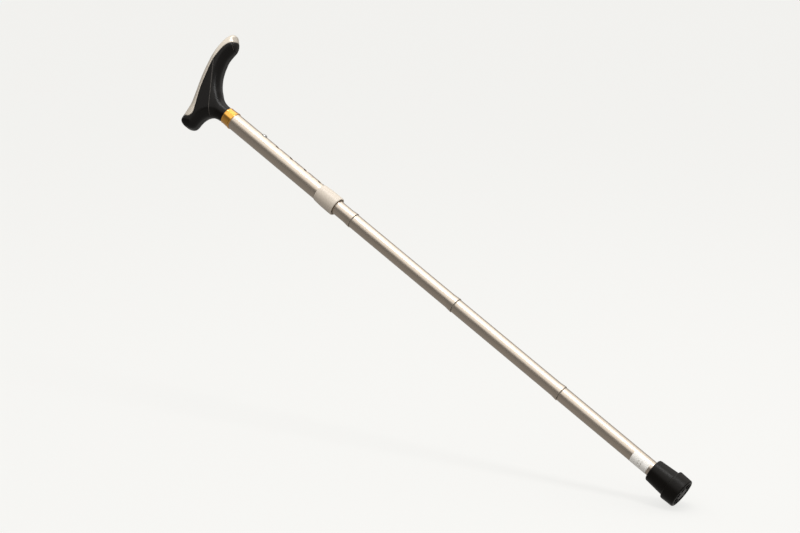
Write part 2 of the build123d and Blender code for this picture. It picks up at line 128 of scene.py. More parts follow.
@dataclass(frozen=True)
class Finish:
    """A surface finish: what the material is and how it was worked.

    Attributes:
        name: Common name of the material and its working.
        colour: Main colour, sRGB hex.
        shade: Colour that the fine pattern brings in, sRGB hex.
        roughness: Mean roughness.
        metallic: 1 for bare metal.
        ior: Refractive index, or None for the default.
        gloss: Specular level. Less than 0.5 for a surface dulled by its etch.
        coat: Weight of a clear lacquer.
        sheen: Weight of the soft edge light of cloth, paper and rubber dust.
        pattern: How the surface was worked.
        pitch: Distance between two lines or grains, mm.
        relief: Depth of the fine pattern, mm.
        share: How much of the shade shows where the pattern is deepest.
        handling: How much roughness varies in broad patches from handling.
    """

    name: str
    colour: str
    shade: str
    roughness: float
    metallic: float = 0.0
    ior: float | None = None
    gloss: float = 0.5
    coat: float = 0.0
    sheen: float = 0.0
    pattern: Pattern = Pattern.MOULDED
    pitch: float = 0.5
    relief: float = 0.01
    share: float = 0.5
    handling: float = 0.06

    def build(self) -> bpy.types.Material:
        """Builds the node material.

        Returns:
            The material, with its pattern in object space or on the piece's UV map.
        """
        material = bpy.data.materials.new(self.name)
        material.use_nodes = True
        tree = material.node_tree
        tree.nodes.clear()
        place = add_node(tree, "ShaderNodeTexCoord")
        if self.pattern is Pattern.BRAIDED:
            fine = self._braid(tree, place.outputs["UV"])
        else:
            fine = self._grain(tree, place.outputs["Object"])
        patches = add_node(
            tree,
            "ShaderNodeTexNoise",
            {"Vector": place.outputs["Object"], "Scale": 1 / (28 * MM), "Detail": 3.0, "Roughness": 0.6},
        )
        depth = add_node(
            tree,
            "ShaderNodeMapRange",
            {"Value": fine, "From Min": 0.3, "From Max": 0.7, "To Min": 0.0, "To Max": self.share},
        )
        tint = add_node(
            tree,
            "ShaderNodeMix",
            {0: depth.outputs[0], 6: linear(self.colour), 7: linear(self.shade)},
            data_type="RGBA",
        )
        colour = tint.outputs[2]
        if self.pattern is Pattern.PRINTED:
            colour = self._marks(tree, place.outputs["UV"], colour)
        rough = add_node(
            tree,
            "ShaderNodeMapRange",
            {
                "Value": patches.outputs[0],
                "From Min": 0.3,
                "From Max": 0.7,
                "To Min": self.roughness - self.handling / 2,
                "To Max": self.roughness + self.handling / 2,
            },
        )
        bump = add_node(
            tree, "ShaderNodeBump", {"Height": fine, "Distance": self.relief * MM, "Strength": 1.0}
        )
        surface = add_node(
            tree,
            "ShaderNodeBsdfPrincipled",
            {
                "Base Color": colour,
                "Roughness": rough.outputs[0],
                "Normal": bump.outputs[0],
                "Metallic": self.metallic,
                "Specular IOR Level": self.gloss,
                "Coat Weight": self.coat,
                "Coat Roughness": 0.12,
                "Sheen Weight": self.sheen,
                "Sheen Roughness": 0.5,
            },
        )
        if self.ior is not None:
            surface.inputs["IOR"].default_value = self.ior
        add_node(tree, "ShaderNodeOutputMaterial", {"Surface": surface.outputs[0]})
        return material

    def _grain(self, tree: bpy.types.NodeTree, place: bpy.types.NodeSocket) -> bpy.types.NodeSocket:
        """Fine grain or lines, stretched as the pattern says. Returns a height from 0 to 1."""
        scale = [stretch / (self.pitch * MM) for stretch in self.pattern.value]
        mapping = add_node(tree, "ShaderNodeMapping", {"Vector": place, "Scale": scale})
        noise = add_node(
            tree,
            "ShaderNodeTexNoise",
            {"Vector": mapping.outputs[0], "Scale": 1.0, "Detail": 2.0, "Roughness": 0.55},
        )
        return noise.outputs[0]

    def _braid(self, tree: bpy.types.NodeTree, place: bpy.types.NodeSocket) -> bpy.types.NodeSocket:
        """Two sets of yarns that cross, on a UV map in metres. Returns a height from 0 to 1."""
        heights = []
        for turn in (0.7, -0.7):
            mapping = add_node(tree, "ShaderNodeMapping", {"Vector": place, "Rotation": (0.0, 0.0, turn)})
            wave = add_node(
                tree,
                "ShaderNodeTexWave",
                {"Vector": mapping.outputs[0], "Scale": 0.31 / (self.pitch * MM), "Distortion": 0.0},
                bands_direction="X",
            )
            heights.append(wave.outputs[1])
        most = add_node(tree, "ShaderNodeMath", {0: heights[0], 1: heights[1]}, operation="MAXIMUM")
        return most.outputs[0]

    def _marks(
        self, tree: bpy.types.NodeTree, place: bpy.types.NodeSocket, paper: bpy.types.NodeSocket
    ) -> bpy.types.NodeSocket:
        """Faint grey dashes in rows on the label's UV map. Returns the colour with its marks."""
        rows = add_node(
            tree,
            "ShaderNodeTexBrick",
            {
                "Vector": place,
                "Color1": linear("C9C6C0"),
                "Color2": linear("B4B1AC"),
                "Mortar": linear("FFFFFF"),
                "Scale": 1.0,
                "Mortar Size": 0.06,
                "Mortar Smooth": 0.3,
                "Brick Width": 0.19,
                "Row Height": 0.16,
            },
        )
        parts = add_node(tree, "ShaderNodeSeparateXYZ", {"Vector": place})
        inside = None
        for socket, low, high in ((parts.outputs[0], 0.3, 0.78), (parts.outputs[1], 0.34, 0.64)):
            for edge, sign in ((low, "GREATER_THAN"), (high, "LESS_THAN")):
                test = add_node(tree, "ShaderNodeMath", {0: socket, 1: edge}, operation=sign)
                if inside is None:
                    inside = test.outputs[0]
                else:
                    both = add_node(
                        tree, "ShaderNodeMath", {0: inside, 1: test.outputs[0]}, operation="MULTIPLY"
                    )
                    inside = both.outputs[0]
        printed = add_node(
            tree,
            "ShaderNodeMix",
            {0: inside, 6: linear("FFFFFF"), 7: rows.outputs[0]},
            data_type="RGBA",
        )
        sheet = add_node(
            tree,
            "ShaderNodeMix",
            {0: 1.0, 6: paper, 7: printed.outputs[2]},
            data_type="RGBA",
            blend_type="MULTIPLY",
        )
        return sheet.outputs[2]


FINISHES: dict[str, Finish] = {
    # Glass-filled nylon from a finely etched mould: near black, with a broad soft shine.
    "black_plastic": Finish(
        "moulded_black_nylon",
        "080605",
        "0F0D0B",
        0.3,
        ior=1.53,
        gloss=0.18,
        pitch=1.4,
        relief=0.004,
        share=0.6,
    ),
    # The same nylon on a mould line that stands proud, coloured grey: a painted highlight that stands in for
    # the glint along its crest.
    "painted_highlight_line": Finish(
        "black_nylon_painted_highlight", "4B4642", "3C3835", 0.35, ior=1.53, pitch=2.0, relief=0.004, share=0.7
    ),
    # Silver lacquer brushed across the handle: a grey metal look with fine cross lines.
    "silver_inlay": Finish(
        "brushed_silver_lacquer",
        "D2CABE",
        "BFB7AB",
        0.36,
        metallic=0.6,
        coat=0.15,
        pattern=Pattern.BRUSHED,
        pitch=2.2,
        relief=0.0015,
        share=0.5,
    ),
    # The same nylon with a slightly duller etch, so that the cap reads apart from the grip.
    "black_cap": Finish(
        "moulded_black_nylon_cap",
        "100E0D",
        "181614",
        0.42,
        ior=1.53,
        gloss=0.22,
        pitch=0.9,
        relief=0.008,
        share=0.6,
    ),
    # Brass, turned, polished and lacquered: mirror-like gold with very fine rings.
    "gold_ring": Finish(
        "polished_brass",
        "E8AC4A",
        "DA9A38",
        0.13,
        metallic=1.0,
        coat=0.6,
        pattern=Pattern.TURNED,
        pitch=0.8,
        relief=0.0002,
        share=0.5,
        handling=0.03,
    ),
    # Aluminium tube, drawn, etched and anodised in pale champagne: satin, with lines along it.
    "anodised_silver": Finish(
        "satin_anodised_aluminium",
        "C9BEB1",
        "BEB3A6",
        0.33,
        metallic=1.0,
        pattern=Pattern.DRAWN,
        pitch=1.6,
        relief=0.0003,
        share=0.6,
    ),
    # Light beige ABS from a fine matt mould: even colour and a soft broad light.
    "beige_plastic": Finish(
        "matt_beige_abs", "D0C6B9", "C4BAAD", 0.36, ior=1.53, pitch=2.0, relief=0.008, share=0.5
    ),
    # Grey acetal, turned: slightly waxy, with fine rings.
    "grey_plastic": Finish(
        "turned_grey_acetal",
        "A8A197",
        "968F85",
        0.42,
        ior=1.48,
        pattern=Pattern.TURNED,
        pitch=0.4,
        relief=0.006,
    ),
    # Zinc-plated steel: bright, faintly clouded.
    "steel": Finish(
        "zinc_plated_steel", "B4B4B2", "9A9B9C", 0.27, metallic=1.0, pitch=1.2, relief=0.003, share=0.7
    ),
    # Rolled spring strip: blue-grey, with rolling lines along it.
    "spring_steel": Finish(
        "rolled_spring_steel",
        "8F9296",
        "7A7D82",
        0.3,
        metallic=1.0,
        pattern=Pattern.DRAWN,
        pitch=0.3,
        relief=0.003,
    ),
    # Natural nylon: milky white, slightly translucent looking, with a soft shine.
    "white_nylon": Finish(
        "moulded_natural_nylon", "DAD7CE", "CCC8BD", 0.4, ior=1.53, pitch=0.8, relief=0.01, coat=0.05
    ),
    # Black rubber from a matt mould, with a wide dull shine.
    "rubber": Finish(
        "moulded_black_rubber",
        "0A0806",
        "12100D",
        0.36,
        ior=1.52,
        gloss=0.14,
        pitch=1.1,
        relief=0.012,
        share=0.7,
        handling=0.1,
    ),
    # Polyester sleeve braided over an elastic core: crossing yarns about 0.8 mm wide.
    "cord": Finish(
        "braided_polyester_cord",
        "3C3C3F",
        "1E1E20",
        0.7,
        sheen=0.3,
        pattern=Pattern.BRAIDED,
        pitch=0.8,
        relief=0.15,
        share=0.9,
    ),
    # Uncoated label paper: white fibres and a few faint grey printed dashes.
    "paper": Finish(
        "label_paper",
        "FBFAF7",
        "F3F1EC",
        0.7,
        sheen=0.1,
        pattern=Pattern.PRINTED,
        pitch=1.5,
        relief=0.002,
        share=0.5,
    ),
}


# ------------------------------------------------------------------ mesh helpers
@dataclass(frozen=True)
class Span:
    """Lowest and highest corner of a CAD node, in millimetres."""

    low: tuple[float, float, float]
    high: tuple[float, float, float]

    @classmethod
    def of(cls, node: str) -> Span:
        """The span of the named CAD node at rest."""
        low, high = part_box(node)
        return cls(tuple(low / MM), tuple(high / MM))


def new_object(name: str, points: np.ndarray, faces: Sequence[Sequence[int]]) -> bpy.types.Object:
    """Makes a smooth mesh object whose faces point outwards.

    Args:
        name: Name of the piece.
        points: Vertices in millimetres, one row each.
        faces: Vertex numbers of each face.

    Returns:
        The object, linked to the scene, at the origin.
    """
    mesh = bpy.data.meshes.new(name)
    mesh.from_pydata((np.asarray(points) * MM).tolist(), [], [list(face) for face in faces])
    work = bmesh.new()
    work.from_mesh(mesh)
    bmesh.ops.remove_doubles(work, verts=work.verts, dist=0.002 * MM)
    bmesh.ops.recalc_face_normals(work, faces=work.faces)
    if work.calc_volume(signed=True) < 0:
        bmesh.ops.reverse_faces(work, faces=work.faces)
    work.to_mesh(mesh)
    work.free()
    mesh.shade_smooth()
    piece = bpy.data.objects.new(name, mesh)
    bpy.context.scene.collection.objects.link(piece)
    return piece


def rounded(corners: Sequence[Corner], closed: bool = True, steps: int = 4) -> list[Point]:
    """Rounds the corners of a profile and keeps its straight runs flat.

    Args:
        corners: Radius, height and rounding of each corner.
        closed: Whether the last corner runs on to the first.
        steps: Number of parts of each rounding.

    Returns:
        Profile points, with one extra point beside each rounding that keeps the shading even.
    """
    count = len(corners)
    profile: list[Point] = []
    for index, (radius, height, rounding) in enumerate(corners):
        here = np.array((radius, height))
        if rounding <= 0 or (not closed and index in (0, count - 1)):
            profile.append((radius, height))
            continue
        before = np.array(corners[index - 1][:2]) - here
        after = np.array(corners[(index + 1) % count][:2]) - here
        reach = min(rounding, 0.4 * np.linalg.norm(before), 0.4 * np.linalg.norm(after))
        start = here + before / np.linalg.norm(before) * reach
        end = here + after / np.linalg.norm(after) * reach
        profile.append(tuple(here + (start - here) * SUPPORT))
        for step in range(steps + 1):
            t = step / steps
            profile.append(tuple((1 - t) ** 2 * start + 2 * t * (1 - t) * here + t * t * end))
        profile.append(tuple(here + (end - here) * SUPPORT))
    return profile


def revolved(profile: Sequence[Point], closed: bool = True) -> Mesh:
    """Turns a profile round the shaft's axis.

    Args:
        profile: Radius and height of each point. A radius of 0 is a pole.
        closed: Whether the last point runs on to the first.

    Returns:
        Vertices in millimetres and faces.
    """
    turn = np.arange(AROUND) * 2 * math.pi / AROUND
    points: list[np.ndarray] = []
    rings: list[list[int]] = []
    total = 0
    for radius, height in profile:
        if radius < 1e-6:
            points.append(np.array([[0.0, 0.0, height]]))
            rings.append([total] * AROUND)
            total += 1
        else:
            ring = np.stack([radius * np.cos(turn), radius * np.sin(turn), np.full(AROUND, height)], 1)
            points.append(ring)
            rings.append(list(range(total, total + AROUND)))
            total += AROUND
    faces = []
    last = len(rings) if closed else len(rings) - 1
    for index in range(last):
        low, high = rings[index], rings[(index + 1) % len(rings)]
        for k in range(AROUND):
            face = [low[k], low[(k + 1) % AROUND], high[(k + 1) % AROUND], high[k]]
            face = list(dict.fromkeys(face))
            if len(face) > 2:
                faces.append(face)
    return np.vstack(points), faces


def lathe(name: str, profile: Sequence[Point], closed: bool = True) -> bpy.types.Object:
    """A turned piece from a profile of radius and height. Returns the object."""
    points, faces = revolved(profile, closed)
    return new_object(name, points, faces)


def joined(*parts: Mesh) -> Mesh:
    """Puts several sets of vertices and faces into one. Returns that one set."""
    points, faces, total = [], [], 0
    for part_points, part_faces in parts:
        points.append(part_points)
        faces += [[index + total for index in face] for face in part_faces]
        total += len(part_points)
    return np.vstack(points), faces


def strip(loops: Sequence[np.ndarray], around: bool) -> Mesh:
    """Joins loops of equal length with quads.

    Args:
        loops: Arrays of points, one row each.
        around: Whether each loop is closed.

    Returns:
        Vertices and faces.
    """
    count = len(loops[0])
    last = count if around else count - 1
    faces = []
    for index in range(len(loops) - 1):
        low, high = index * count, (index + 1) * count
        for k in range(last):
            after = (k + 1) % count
            faces.append([low + k, low + after, high + after, high + k])
    return np.vstack(loops), faces


# ------------------------------------------------------------------ geometry nodes
class Layout(Enum):
    """Where a repeated part is put: along the shaft or round it."""

    ALONG = "along"
    ROUND = "round"


def repeat(piece: bpy.types.Object, layout: Layout, count: int, size: float) -> bpy.types.Object:
    """Repeats a mesh with Geometry Nodes and turns the result into a plain mesh.

    Args:
        piece: Object whose mesh is repeated. Its first material is set on the result.
        layout: Along the shaft or round it.
        count: Number of copies.
        size: Distance between copies along the shaft, or the ring's radius, in millimetres.

    Returns:
        The same object with its repeated mesh.
    """
    tree = bpy.data.node_groups.new(f"repeat_{layout.value}", "GeometryNodeTree")
    sockets = {"Part": "Geometry", "Count": "Int", "Size": "Float", "Finish": "Material"}
    made = {
        name: tree.interface.new_socket(name, in_out="INPUT", socket_type=f"NodeSocket{kind}")
        for name, kind in sockets.items()
    }
    tree.interface.new_socket("Repeated", in_out="OUTPUT", socket_type="NodeSocketGeometry")
    given = add_node(tree, "NodeGroupInput")
    if layout is Layout.ALONG:
        offset = add_node(tree, "ShaderNodeCombineXYZ", {"Z": given.outputs["Size"]})
        places = add_node(
            tree,
            "GeometryNodeMeshLine",
            {"Count": given.outputs["Count"], "Offset": offset.outputs[0]},
            mode="OFFSET",
        )
        links = {"Points": places.outputs[0], "Instance": given.outputs["Part"]}
    else:
        places = add_node(
            tree,
            "GeometryNodeMeshCircle",
            {"Vertices": given.outputs["Count"], "Radius": given.outputs["Size"]},
        )
        where = add_node(tree, "GeometryNodeInputPosition")
        facing = add_node(
            tree, "FunctionNodeAlignRotationToVector", {"Vector": where.outputs[0]}, axis="X"
        )
        links = {
            "Points": places.outputs[0],
            "Instance": given.outputs["Part"],
            "Rotation": facing.outputs[0],
        }
    copies = add_node(tree, "GeometryNodeInstanceOnPoints", links)
    real = add_node(tree, "GeometryNodeRealizeInstances", {0: copies.outputs[0]})
    dressed = add_node(
        tree, "GeometryNodeSetMaterial", {"Geometry": real.outputs[0], "Material": given.outputs["Finish"]}
    )
    add_node(tree, "NodeGroupOutput", {"Repeated": dressed.outputs[0]})
    modifier = piece.modifiers.new("repeat", "NODES")
    modifier.node_group = tree
    values = {"Count": count, "Size": size * MM, "Finish": piece.data.materials[0]}
    for name, value in values.items():
        modifier[made[name].identifier] = value
    bpy.context.view_layer.update()
    mesh = bpy.data.meshes.new_from_object(piece.evaluated_get(bpy.context.evaluated_depsgraph_get()))
    piece.modifiers.remove(modifier)
    piece.data = mesh
    return piece


def mesh_parts(piece: bpy.types.Object) -> Mesh:
    """Takes an object's vertices, in millimetres, and faces, and removes the object."""
    points = np.array([vertex.co for vertex in piece.data.vertices]) / MM
    faces = [list(polygon.vertices) for polygon in piece.data.polygons]
    bpy.data.objects.remove(piece)
    return points, faces


# ------------------------------------------------------------------ sub-assemblies
@dataclass
class SubAssembly:
    """A group of pieces. It holds the finishes by material slot."""

    finishes: dict[str, bpy.types.Material]

    def fit(self, piece: bpy.types.Object, slot: str, body: str, *nodes: str) -> bpy.types.Object:
        """Dresses a finished piece and puts it on its body.

        Args:
            piece: Finished object at the origin.
            slot: Material slot of the record.
            body: CAD body that it rides on.
            nodes: CAD nodes that it stands for.

        Returns:
            The same object.
        """
        self.dress(piece, slot)
        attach(piece, body)
        self.declare(piece, slot, *nodes)
        return piece

    def dress(self, piece: bpy.types.Object, slot: str) -> None:
        """Gives the piece the slot's finish."""
        piece.data.materials.clear()
        piece.data.materials.append(self.finishes[slot])

    def declare(self, piece: bpy.types.Object, slot: str, *nodes: str) -> None:
        """Hides the CAD nodes that the piece stands for, and logs its name, faces and slot."""
        if nodes:
            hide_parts(*nodes)
        LOG.info("%s: %d faces, %s", piece.name, len(piece.data.polygons), slot)


class HandlePart(Enum):
    """The three visible mouldings of the handle."""

    GRIP = "handle_grip_moulding"
    INLAY = "handle_inlay_moulding"
    CAP = "handle_tip_moulding"


def smooth_through(points: Sequence[Point], steps: int) -> np.ndarray:
    """A smooth line through points.

    Args:
        points: Places to pass through.
        steps: Parts between two of them.

    Returns:
        Points of the line, one row each.
    """
    given = np.array(points, float)
    ends = np.vstack([2 * given[0] - given[1], given, 2 * given[-1] - given[-2]])
    line = []
    for index in range(1, len(ends) - 2):
        a, b, c, d = ends[index - 1 : index + 3]
        for t in np.arange(steps) / steps:
            line.append(
                0.5
                * (2 * b + (c - a) * t + (2 * a - 5 * b + 4 * c - d) * t**2 + (3 * b - a - 3 * c + d) * t**3)
            )
    line.append(ends[-2])
    return np.array(line)


def area_distance(polygon: np.ndarray, x: np.ndarray, z: np.ndarray) -> np.ndarray:
    """Signed distance from places to a closed outline, negative inside.

    Args:
        polygon: Corners of the outline, one row each.
        x: First coordinates of the places.
        z: Second coordinates of the places.

    Returns:
        Distances, in the shape of x.
    """
    nearest = np.full(x.shape, np.inf)
    inside = np.zeros(x.shape, bool)
    for (ax, az), (bx, bz) in zip(polygon, np.roll(polygon, -1, axis=0)):
        run, rise = bx - ax, bz - az
        length = run * run + rise * rise
        if length < 1e-12:
            continue
        t = np.clip(((x - ax) * run + (z - az) * rise) / length, 0, 1)
        nearest = np.minimum(nearest, (x - ax - t * run) ** 2 + (z - az - t * rise) ** 2)
        if rise:
            crosses = (az > z) != (bz > z)
            inside ^= crosses & (x < ax + (z - az) * run / rise)
    return np.where(inside, -1, 1) * np.sqrt(nearest)


def even(grid: np.ndarray, spread: float) -> np.ndarray:
    """Evens out a map.

    Args:
        grid: Map of two dimensions.
        spread: Standard deviation of the smoothing, in cells.

    Returns:
        The smoothed map, whose borders keep their values.
    """
    reach = int(3 * spread)
    weight = np.exp(-0.5 * (np.arange(-reach, reach + 1) / spread) ** 2)
    weight /= weight.sum()
    for axis in (0, 1):
        widths = [(reach, reach) if a == axis else (0, 0) for a in (0, 1)]
        wide = np.pad(grid, widths, mode="edge")
        grid = np.apply_along_axis(lambda row: np.convolve(row, weight, "valid"), axis, wide)
    return grid


def ramp(value: np.ndarray, low: float, high: float) -> np.ndarray:
    """Smooth step from 0 at low to 1 at high."""
    t = np.clip((value - low) / (high - low), 0, 1)
    return t * t * (3 - 2 * t)


@dataclass
class HandleForm:
    """Smooth solid of the handle, as a signed field over its side view and half thickness.

    Heights are above the neck base. Each outline point is a place along X and a height.
    """

    outline: list[Point]
    inlay_edge: list[Point]
    cap_edge: list[Point]
    crease: tuple[Point, Point]
    half_thickness: float = 15.0
    neck_radius: float = 9.9
    neck_height: float = 27.0
    neck_depth: float = 5.2  # from the neck base down to its lower face
    round_neck_height: float = 26.0
    nose_taper: float = 2.0
    nose_range: Point = (66.0, 88.0)
    middle_line: tuple[Point, ...] = (
        (-45, 32), (-14, 33), (10, 41), (30, 49), (45, 55), (60, 58.5), (75, 59), (88, 60),
    )
    under_range: Point = (-7.0, 3.0)  # over which the rounding grows below the middle line
    softening: float = 2.0
    facet_slope: float = 0.085
    top_rounding: float = 7.5
    under_rounding: float = 11.5
    gap: float = 0.3
    edge_rounding: float = 0.45
    step: float = 0.3
    low: Point = (-50.0, -8.0)
    high: Point = (92.0, 75.0)
    maps: dict[str, np.ndarray] = field(default_factory=dict)

    def prepare(self) -> None:
        """Works out the side-view maps once: distances, half thickness and rounding."""
        xs = np.arange(self.low[0], self.high[0], self.step)
        zs = np.arange(self.low[1], self.high[1], self.step)
        x, z = np.meshgrid(xs, zs, indexing="ij")
        shape = smooth_through(self.outline, 8)
        self.maps["side"] = area_distance(shape, x, z)
        top = self.high[1] + 10
        inlay = smooth_through(self.inlay_edge, 8)
        zone = np.vstack([inlay, [(inlay[-1][0], top), (inlay[0][0], top)]])
        self.maps["inlay"] = area_distance(zone, x, z)
        cap = smooth_through(self.cap_edge, 8)
        zone = np.vstack([cap, [(self.high[0] + 9, cap[-1][1]), (self.high[0] + 9, cap[0][1])]])
        self.maps["cap"] = area_distance(zone, x, z)
        (ax, az), (bx, bz) = self.crease
        run, rise = bx - ax, bz - az
        length = math.hypot(run, rise)
        beside = ((x - ax) * -rise + (z - az) * run) / length
        facet = np.clip(beside, 0, None)
        half = self.half_thickness - self.nose_taper * ramp(x, *self.nose_range)
        neck = self.neck_radius + (self.half_thickness - self.neck_radius) * ramp(z, -1, self.neck_height)
        soft = self.softening / self.step
        half = even(np.minimum(half, neck), soft)
        middle = np.interp(x, *zip(*self.middle_line))
        under = ramp(middle - z, *self.under_range)
        rounding = self.top_rounding + (self.under_rounding - self.top_rounding) * under
        low_neck = 1 - ramp(z, 0, self.round_neck_height)
        rounding = even(rounding * (1 - low_neck) + half * low_neck, soft)
        half -= self.facet_slope * facet * (1 - low_neck)
        self.maps["half"] = half
        self.maps["rounding"] = np.minimum(rounding, half - 0.01)

    def read(self, name: str, x: np.ndarray, z: np.ndarray) -> np.ndarray:
        """Reads a side-view map at any places. Returns one value for each."""
        grid = self.maps[name]
        u = np.clip((x - self.low[0]) / self.step, 0, grid.shape[0] - 1.001)
        v = np.clip((z - self.low[1]) / self.step, 0, grid.shape[1] - 1.001)
        i, j = u.astype(int), v.astype(int)
        fu, fv = u - i, v - j
        lower = grid[i, j] * (1 - fu) + grid[i + 1, j] * fu
        upper = grid[i, j + 1] * (1 - fu) + grid[i + 1, j + 1] * fu
        return lower * (1 - fv) + upper * fv

    def solid(self, points: np.ndarray) -> np.ndarray:
        """Signed field of the whole handle at points of X, Y and height."""
        x, y, z = points.T
        rounding = self.read("rounding", x, z)
        across = self.read("side", x, z) + rounding
        through = np.abs(y) - (self.read("half", x, z) - rounding)
        corner = np.hypot(np.clip(across, 0, None), np.clip(through, 0, None))
        field_value = np.minimum(np.maximum(across, through), 0) + corner - rounding
        return np.maximum(field_value, -self.neck_depth - z)

    def most(self, first: np.ndarray, second: np.ndarray) -> np.ndarray:
        """The larger of two fields, with a rounded edge between them."""
        size = self.edge_rounding
        blend = np.clip(0.5 + 0.5 * (first - second) / size, 0, 1)
        return second + (first - second) * blend + size * blend * (1 - blend)

    def part(self, which: HandlePart, points: np.ndarray) -> np.ndarray:
        """Signed field of one moulding at points of X, Y and height."""
        value = self.solid(points)
        x, z = points[:, 0], points[:, 2]
        inlay, cap = self.read("inlay", x, z), self.read("cap", x, z)
        half_gap = self.gap / 2
        if which is HandlePart.INLAY:
            return self.most(value, inlay + half_gap)
        value = self.most(value, half_gap - inlay)
        if which is HandlePart.CAP:
            return self.most(value, cap + half_gap)
        return self.most(value, half_gap - cap)

    def half_width(self, x: np.ndarray, z: np.ndarray) -> np.ndarray:
        """Distance from the middle plane to the handle's side at places of its side view."""
        rounding = self.read("rounding", x, z)
        across = np.clip(self.read("side", x, z) + rounding, 0, rounding)
        return self.read("half", x, z) - rounding + np.sqrt(rounding**2 - across**2)


def surface_net(
    value: Callable[[np.ndarray], np.ndarray], low: Sequence[float], high: Sequence[float], cell: float
) -> Mesh:
    """Meshes the zero surface of a signed field with even quads.

    Args:
        value: Field, given points one row each. It is negative inside.
        low: Lowest corner of the space to mesh.
        high: Highest corner of the space to mesh.
        cell: Size of a cell.

    Returns:
        Vertices on the surface and quads.
    """
    axes = [np.arange(a, b + cell, cell) for a, b in zip(low, high)]
    grid = np.stack(np.meshgrid(*axes, indexing="ij"), -1)
    values = value(grid.reshape(-1, 3)).reshape(grid.shape[:3])
    inside = values < 0
    cells = tuple(n - 1 for n in values.shape)
    total, crossings = np.zeros(cells + (3,)), np.zeros(cells)
    for axis in range(3):
        others = [a for a in range(3) if a != axis]
        for u in (0, 1):
            for v in (0, 1):
                offset = [0, 0, 0]
                offset[others[0]], offset[others[1]] = u, v
                start = tuple(slice(o, o + n) for o, n in zip(offset, cells))
                offset[axis] = 1
                end = tuple(slice(o, o + n) for o, n in zip(offset, cells))
                crosses = inside[start] != inside[end]
                a, b = values[start][crosses], values[end][crosses]
                place = np.zeros((len(a), 3))
                place[:, others[0]], place[:, others[1]] = u, v
                place[:, axis] = a / (a - b)
                total[crosses] += place
                crossings[crosses] += 1
    active = crossings > 0
    number = np.full(cells, -1)
    number[active] = np.arange(active.sum())
    corner = np.argwhere(active)
    points = np.array(low) + (corner + total[active] / crossings[active][:, None]) * cell
    faces: list[list[int]] = []
    for axis in range(3):
        a, b = [k for k in range(3) if k != axis]
        span = [slice(1, -1)] * 3
        span[axis] = slice(0, -1)
        ahead = list(span)
        ahead[axis] = slice(1, None)
        first, second = inside[tuple(span)], inside[tuple(ahead)]
        edges = np.argwhere(first != second)
        edges[:, a] += 1
        edges[:, b] += 1
        ring = []
        for da, db in ((0, 0), (-1, 0), (-1, -1), (0, -1)):
            at = edges.copy()
            at[:, a] += da
            at[:, b] += db
            ring.append(number[at[:, 0], at[:, 1], at[:, 2]])
        faces += np.stack(ring, 1).tolist()
    for _ in range(RELAX_STEPS):
        here = value(points)
        shifts = np.eye(3) * PROBE
        slope = np.stack([(value(points + d) - value(points - d)) / (2 * PROBE) for d in shifts], 1)
        size = np.clip((slope**2).sum(1), 0.25, None)
        points = points - np.clip(here / size, -0.4, 0.4)[:, None] * slope
    return points, faces


